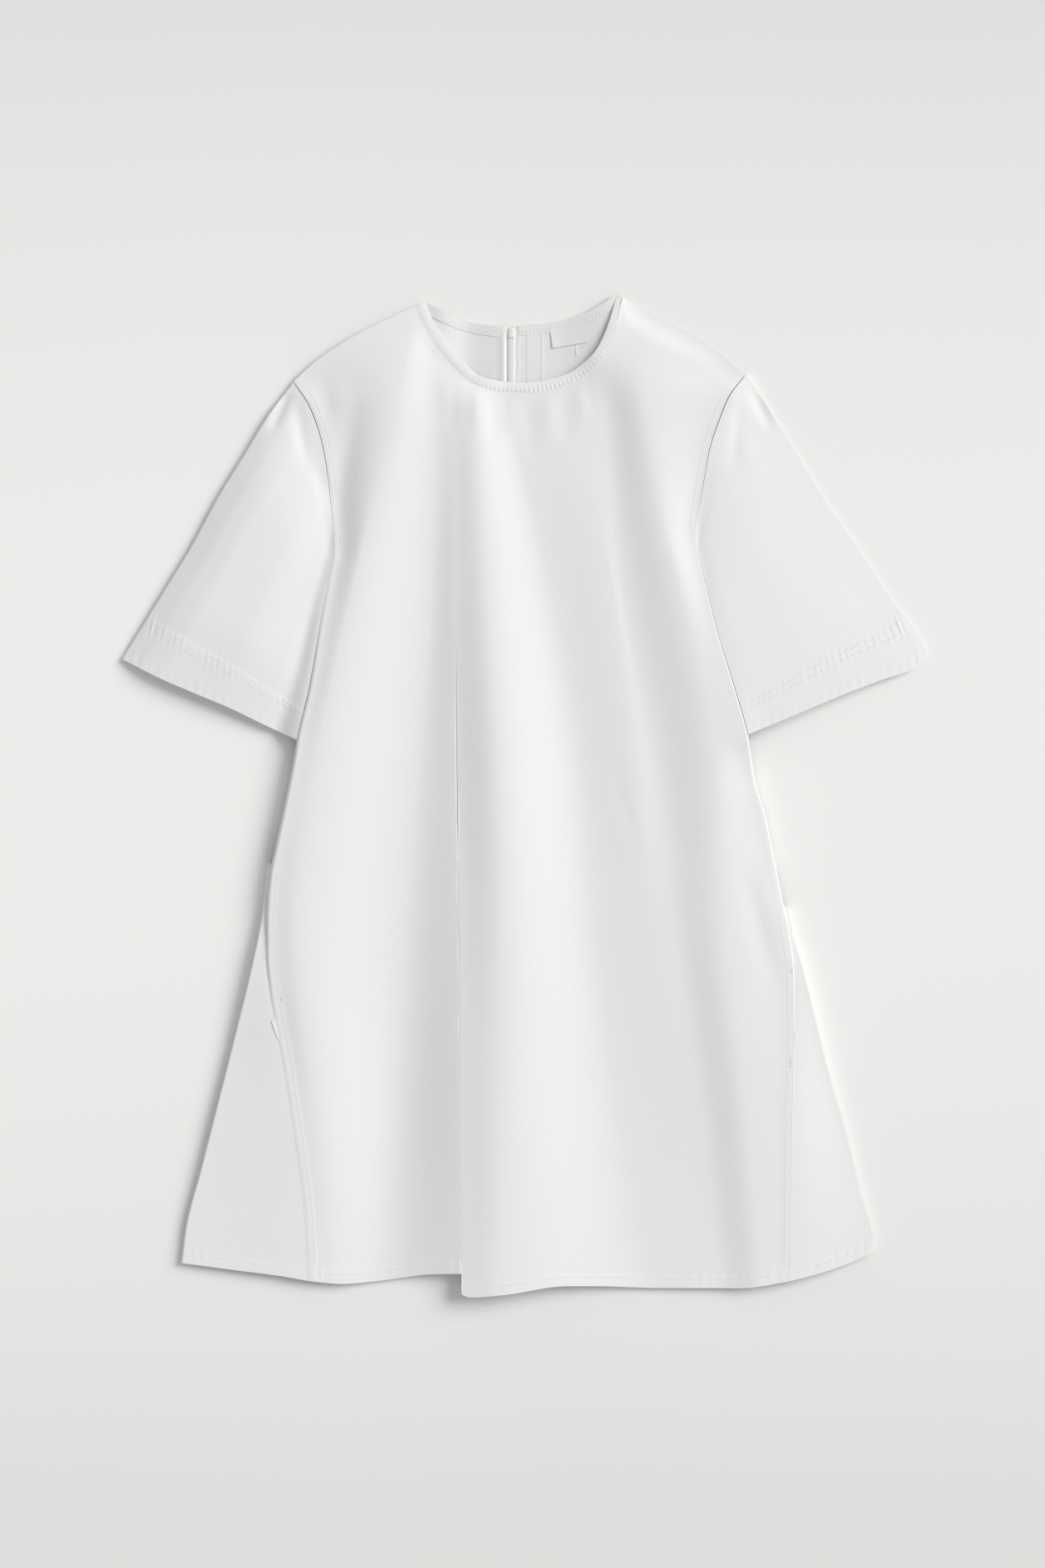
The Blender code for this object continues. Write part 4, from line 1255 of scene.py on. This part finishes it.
class DRESS_OT_sewing(bpy.types.Operator):
    """Rows of stitches along the seams, neck and hems, and bar tacks at the pockets"""

    bl_idname = "dress.sewing"
    bl_label = "Sewing"

    def execute(self, context):
        sizes = context.scene.dress_sizes
        objects = bpy.data.objects
        groups = {
            "body_stitches": (["front_cloth"], self.body_rows()),
            "gore_stitches": (["gore_cloth_left", "gore_cloth_right"], self.gore_rows()),
            "sleeve_stitches": (["sleeve_cloth_left", "sleeve_cloth_right"], self.sleeve_rows()),
            "neck_stitches": (["binding_front"], [offset_path(NECK_LINE, NECK_BAND * 0.82)[8:-8]]),
            "back_neck_stitches": (["binding_back_left", "binding_back_right"], self.back_rows()),
        }
        for name, (cloth, rows) in groups.items():
            shape = bmesh.new()
            tree = surface_under(*(objects[c] for c in cloth))
            for row in rows:
                sew(shape, row, tree, sizes)
            if name == "body_stitches":
                for tack in BAR_TACKS:
                    bar_tack(shape, tree, *tack, sizes)
            piece = link_mesh(name, shape)
            finish_piece(piece, "thread")
        return {"FINISHED"}

    def body_rows(self):
        """Two rows beside each armhole and gore seam, and the hem's row on each side of the fold."""
        rows = []
        for side in (-1, 1):
            for inward in (SEAM_ROW, ARM_BAND - BAND_ROW):
                rows.append(border_line(side, 84, UNDERARM[side] - 4, inward))
            for inward in (SEAM_ROW, GORE_BAND - BAND_ROW):
                rows.append(border_line(side, GORE_TOP[side] + 8, 846, inward))
        return rows + [hem_line(-1, -184, -62), hem_line(1, -52, 228)]

    def gore_rows(self):
        """The hem's row on each gore."""
        return [hem_line(-1, -292, -190), hem_line(1, 236, 296)]

    def sleeve_rows(self):
        """Two rows round each cuff's upper side."""
        rows = []
        for side in (-1, 1):
            plan = SleevePlan(side)
            for row in CUFF_ROWS:
                share = 1 - (CUFF_DEPTH - row) / plan.length
                rows.append([tuple(plan(0.03 + 0.94 * i / 60, share)) for i in range(61)])
        return rows

    def back_rows(self):
        """Two rows on each back binding, stopping short of the zip."""
        rows = []
        for depth in (0.82, 0.6):
            line = offset_path(BACK_LINE, NECK_BAND * depth)
            rows += [line[4:BACK_MIDDLE - 9], line[BACK_MIDDLE + 8:-4]]
        return rows


class DRESS_OT_pockets(bpy.types.Operator):
    """Hidden pocket bags, and the slivers of their facings that show at the seams"""

    bl_idname = "dress.pockets"
    bl_label = "Pockets"

    def execute(self, context):
        for word in ("left", "right"):
            low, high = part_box(f"pocket_bag_{word}")

            def bag(column, share):
                x = mix(low[0], high[0], column / BAG_COLUMNS) / MM
                drop = HALF_LENGTH - mix(high[1], low[1], share) / MM
                return x, drop, high[2] / MM

            piece = cloth_panel(f"pocket_cloth_{word}", BAG_COLUMNS, BAG_ROWS, bag, 0.0011)
            finish_piece(piece, "tape")
            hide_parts(f"pocket_bag_{word}")
        for side, top, length, width in FACING_SLIVERS:

            def sliver(column, share):
                drop = top + share * length
                x, height = border(side, drop)
                across = column / SLIVER_COLUMNS
                out = width * min(share * 7, 1.0) * (1 - share) ** 0.6 * across
                return x + side * (out - 0.6), drop, height + 0.5 + 0.15 * across

            word = "left" if side < 0 else "right"
            piece = cloth_panel(f"pocket_facing_{word}", SLIVER_COLUMNS, BAG_ROWS, sliver, 0.0005, side < 0)
            finish_piece(piece, "denim")
        return {"FINISHED"}


class DRESS_OT_studio(bpy.types.Operator):
    """Plain pale floor, soft light and the camera straight above"""

    bl_idname = "dress.studio"
    bl_label = "Studio"

    def execute(self, context):
        studio = context.scene.dress_studio
        shape = bmesh.new()
        bmesh.ops.create_grid(shape, x_segments=2, y_segments=2, size=6.0)
        bmesh.ops.translate(shape, verts=shape.verts[:], vec=(0, 0, -0.0003))
        floor = link_mesh("floor", shape)
        floor.data.materials.append(floor_finish("backdrop", tuple(studio.floor)))
        world = bpy.data.worlds.new("studio_air")
        context.scene.world = world
        world.use_nodes = True
        air = world.node_tree.nodes["Background"]
        air.inputs["Color"].default_value = (1.0, 1.0, 0.995, 1.0)
        air.inputs["Strength"].default_value = studio.ambient
        lamp = bpy.data.lights.new("key", "SUN")
        lamp.energy = studio.key
        lamp.angle = studio.key_softness
        light = bpy.data.objects.new("key", lamp)
        light.rotation_euler = (0.0, math.pi / 2 - studio.key_elevation, studio.key_azimuth)
        context.collection.objects.link(light)
        optics = bpy.data.cameras.new("above")
        optics.sensor_fit = "VERTICAL"
        optics.sensor_height = 36.0
        optics.lens = studio.lens
        eye = bpy.data.objects.new("above", optics)
        distance = studio.frame_height * studio.lens / optics.sensor_height
        eye.location = (-0.0018, 0.0093, distance)
        context.collection.objects.link(eye)
        context.scene.camera = eye
        context.scene.view_settings.view_transform = "Standard"
        return {"FINISHED"}


STEPS = (DRESS_OT_backs, DRESS_OT_centre_back, DRESS_OT_pockets, DRESS_OT_front, DRESS_OT_gores,
         DRESS_OT_sleeves, DRESS_OT_neck, DRESS_OT_labels, DRESS_OT_sewing, DRESS_OT_studio)


class DRESS_PT_sidebar(bpy.types.Panel):
    """Lists the steps and their sizes"""

    bl_idname = "DRESS_PT_sidebar"
    bl_label = "Laid-flat dress"
    bl_space_type = "VIEW_3D"
    bl_region_type = "UI"
    bl_category = "Dress"

    def draw(self, context):
        for group in (context.scene.dress_sizes, context.scene.dress_colours, context.scene.dress_studio):
            for name in group.__annotations__:
                self.layout.prop(group, name)
        for step in STEPS:
            self.layout.operator(step.bl_idname)


GROUPS = {"dress_sizes": DressSizes, "dress_colours": DressColours, "dress_studio": StudioSettings}


def register():
    """Add the settings, steps and sidebar."""
    for made in (*GROUPS.values(), *STEPS, DRESS_PT_sidebar):
        bpy.utils.register_class(made)
    for name, group in GROUPS.items():
        setattr(bpy.types.Scene, name, PointerProperty(type=group))


def unregister():
    """Take the settings, steps and sidebar away again."""
    for name in GROUPS:
        delattr(bpy.types.Scene, name)
    for made in (DRESS_PT_sidebar, *reversed(STEPS), *reversed(GROUPS.values())):
        bpy.utils.unregister_class(made)


def main():
    """Register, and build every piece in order."""
    register()
    for step in STEPS:
        group, name = step.bl_idname.split(".")
        getattr(getattr(bpy.ops, group), name)()


if __name__ == "__main__":
    main()
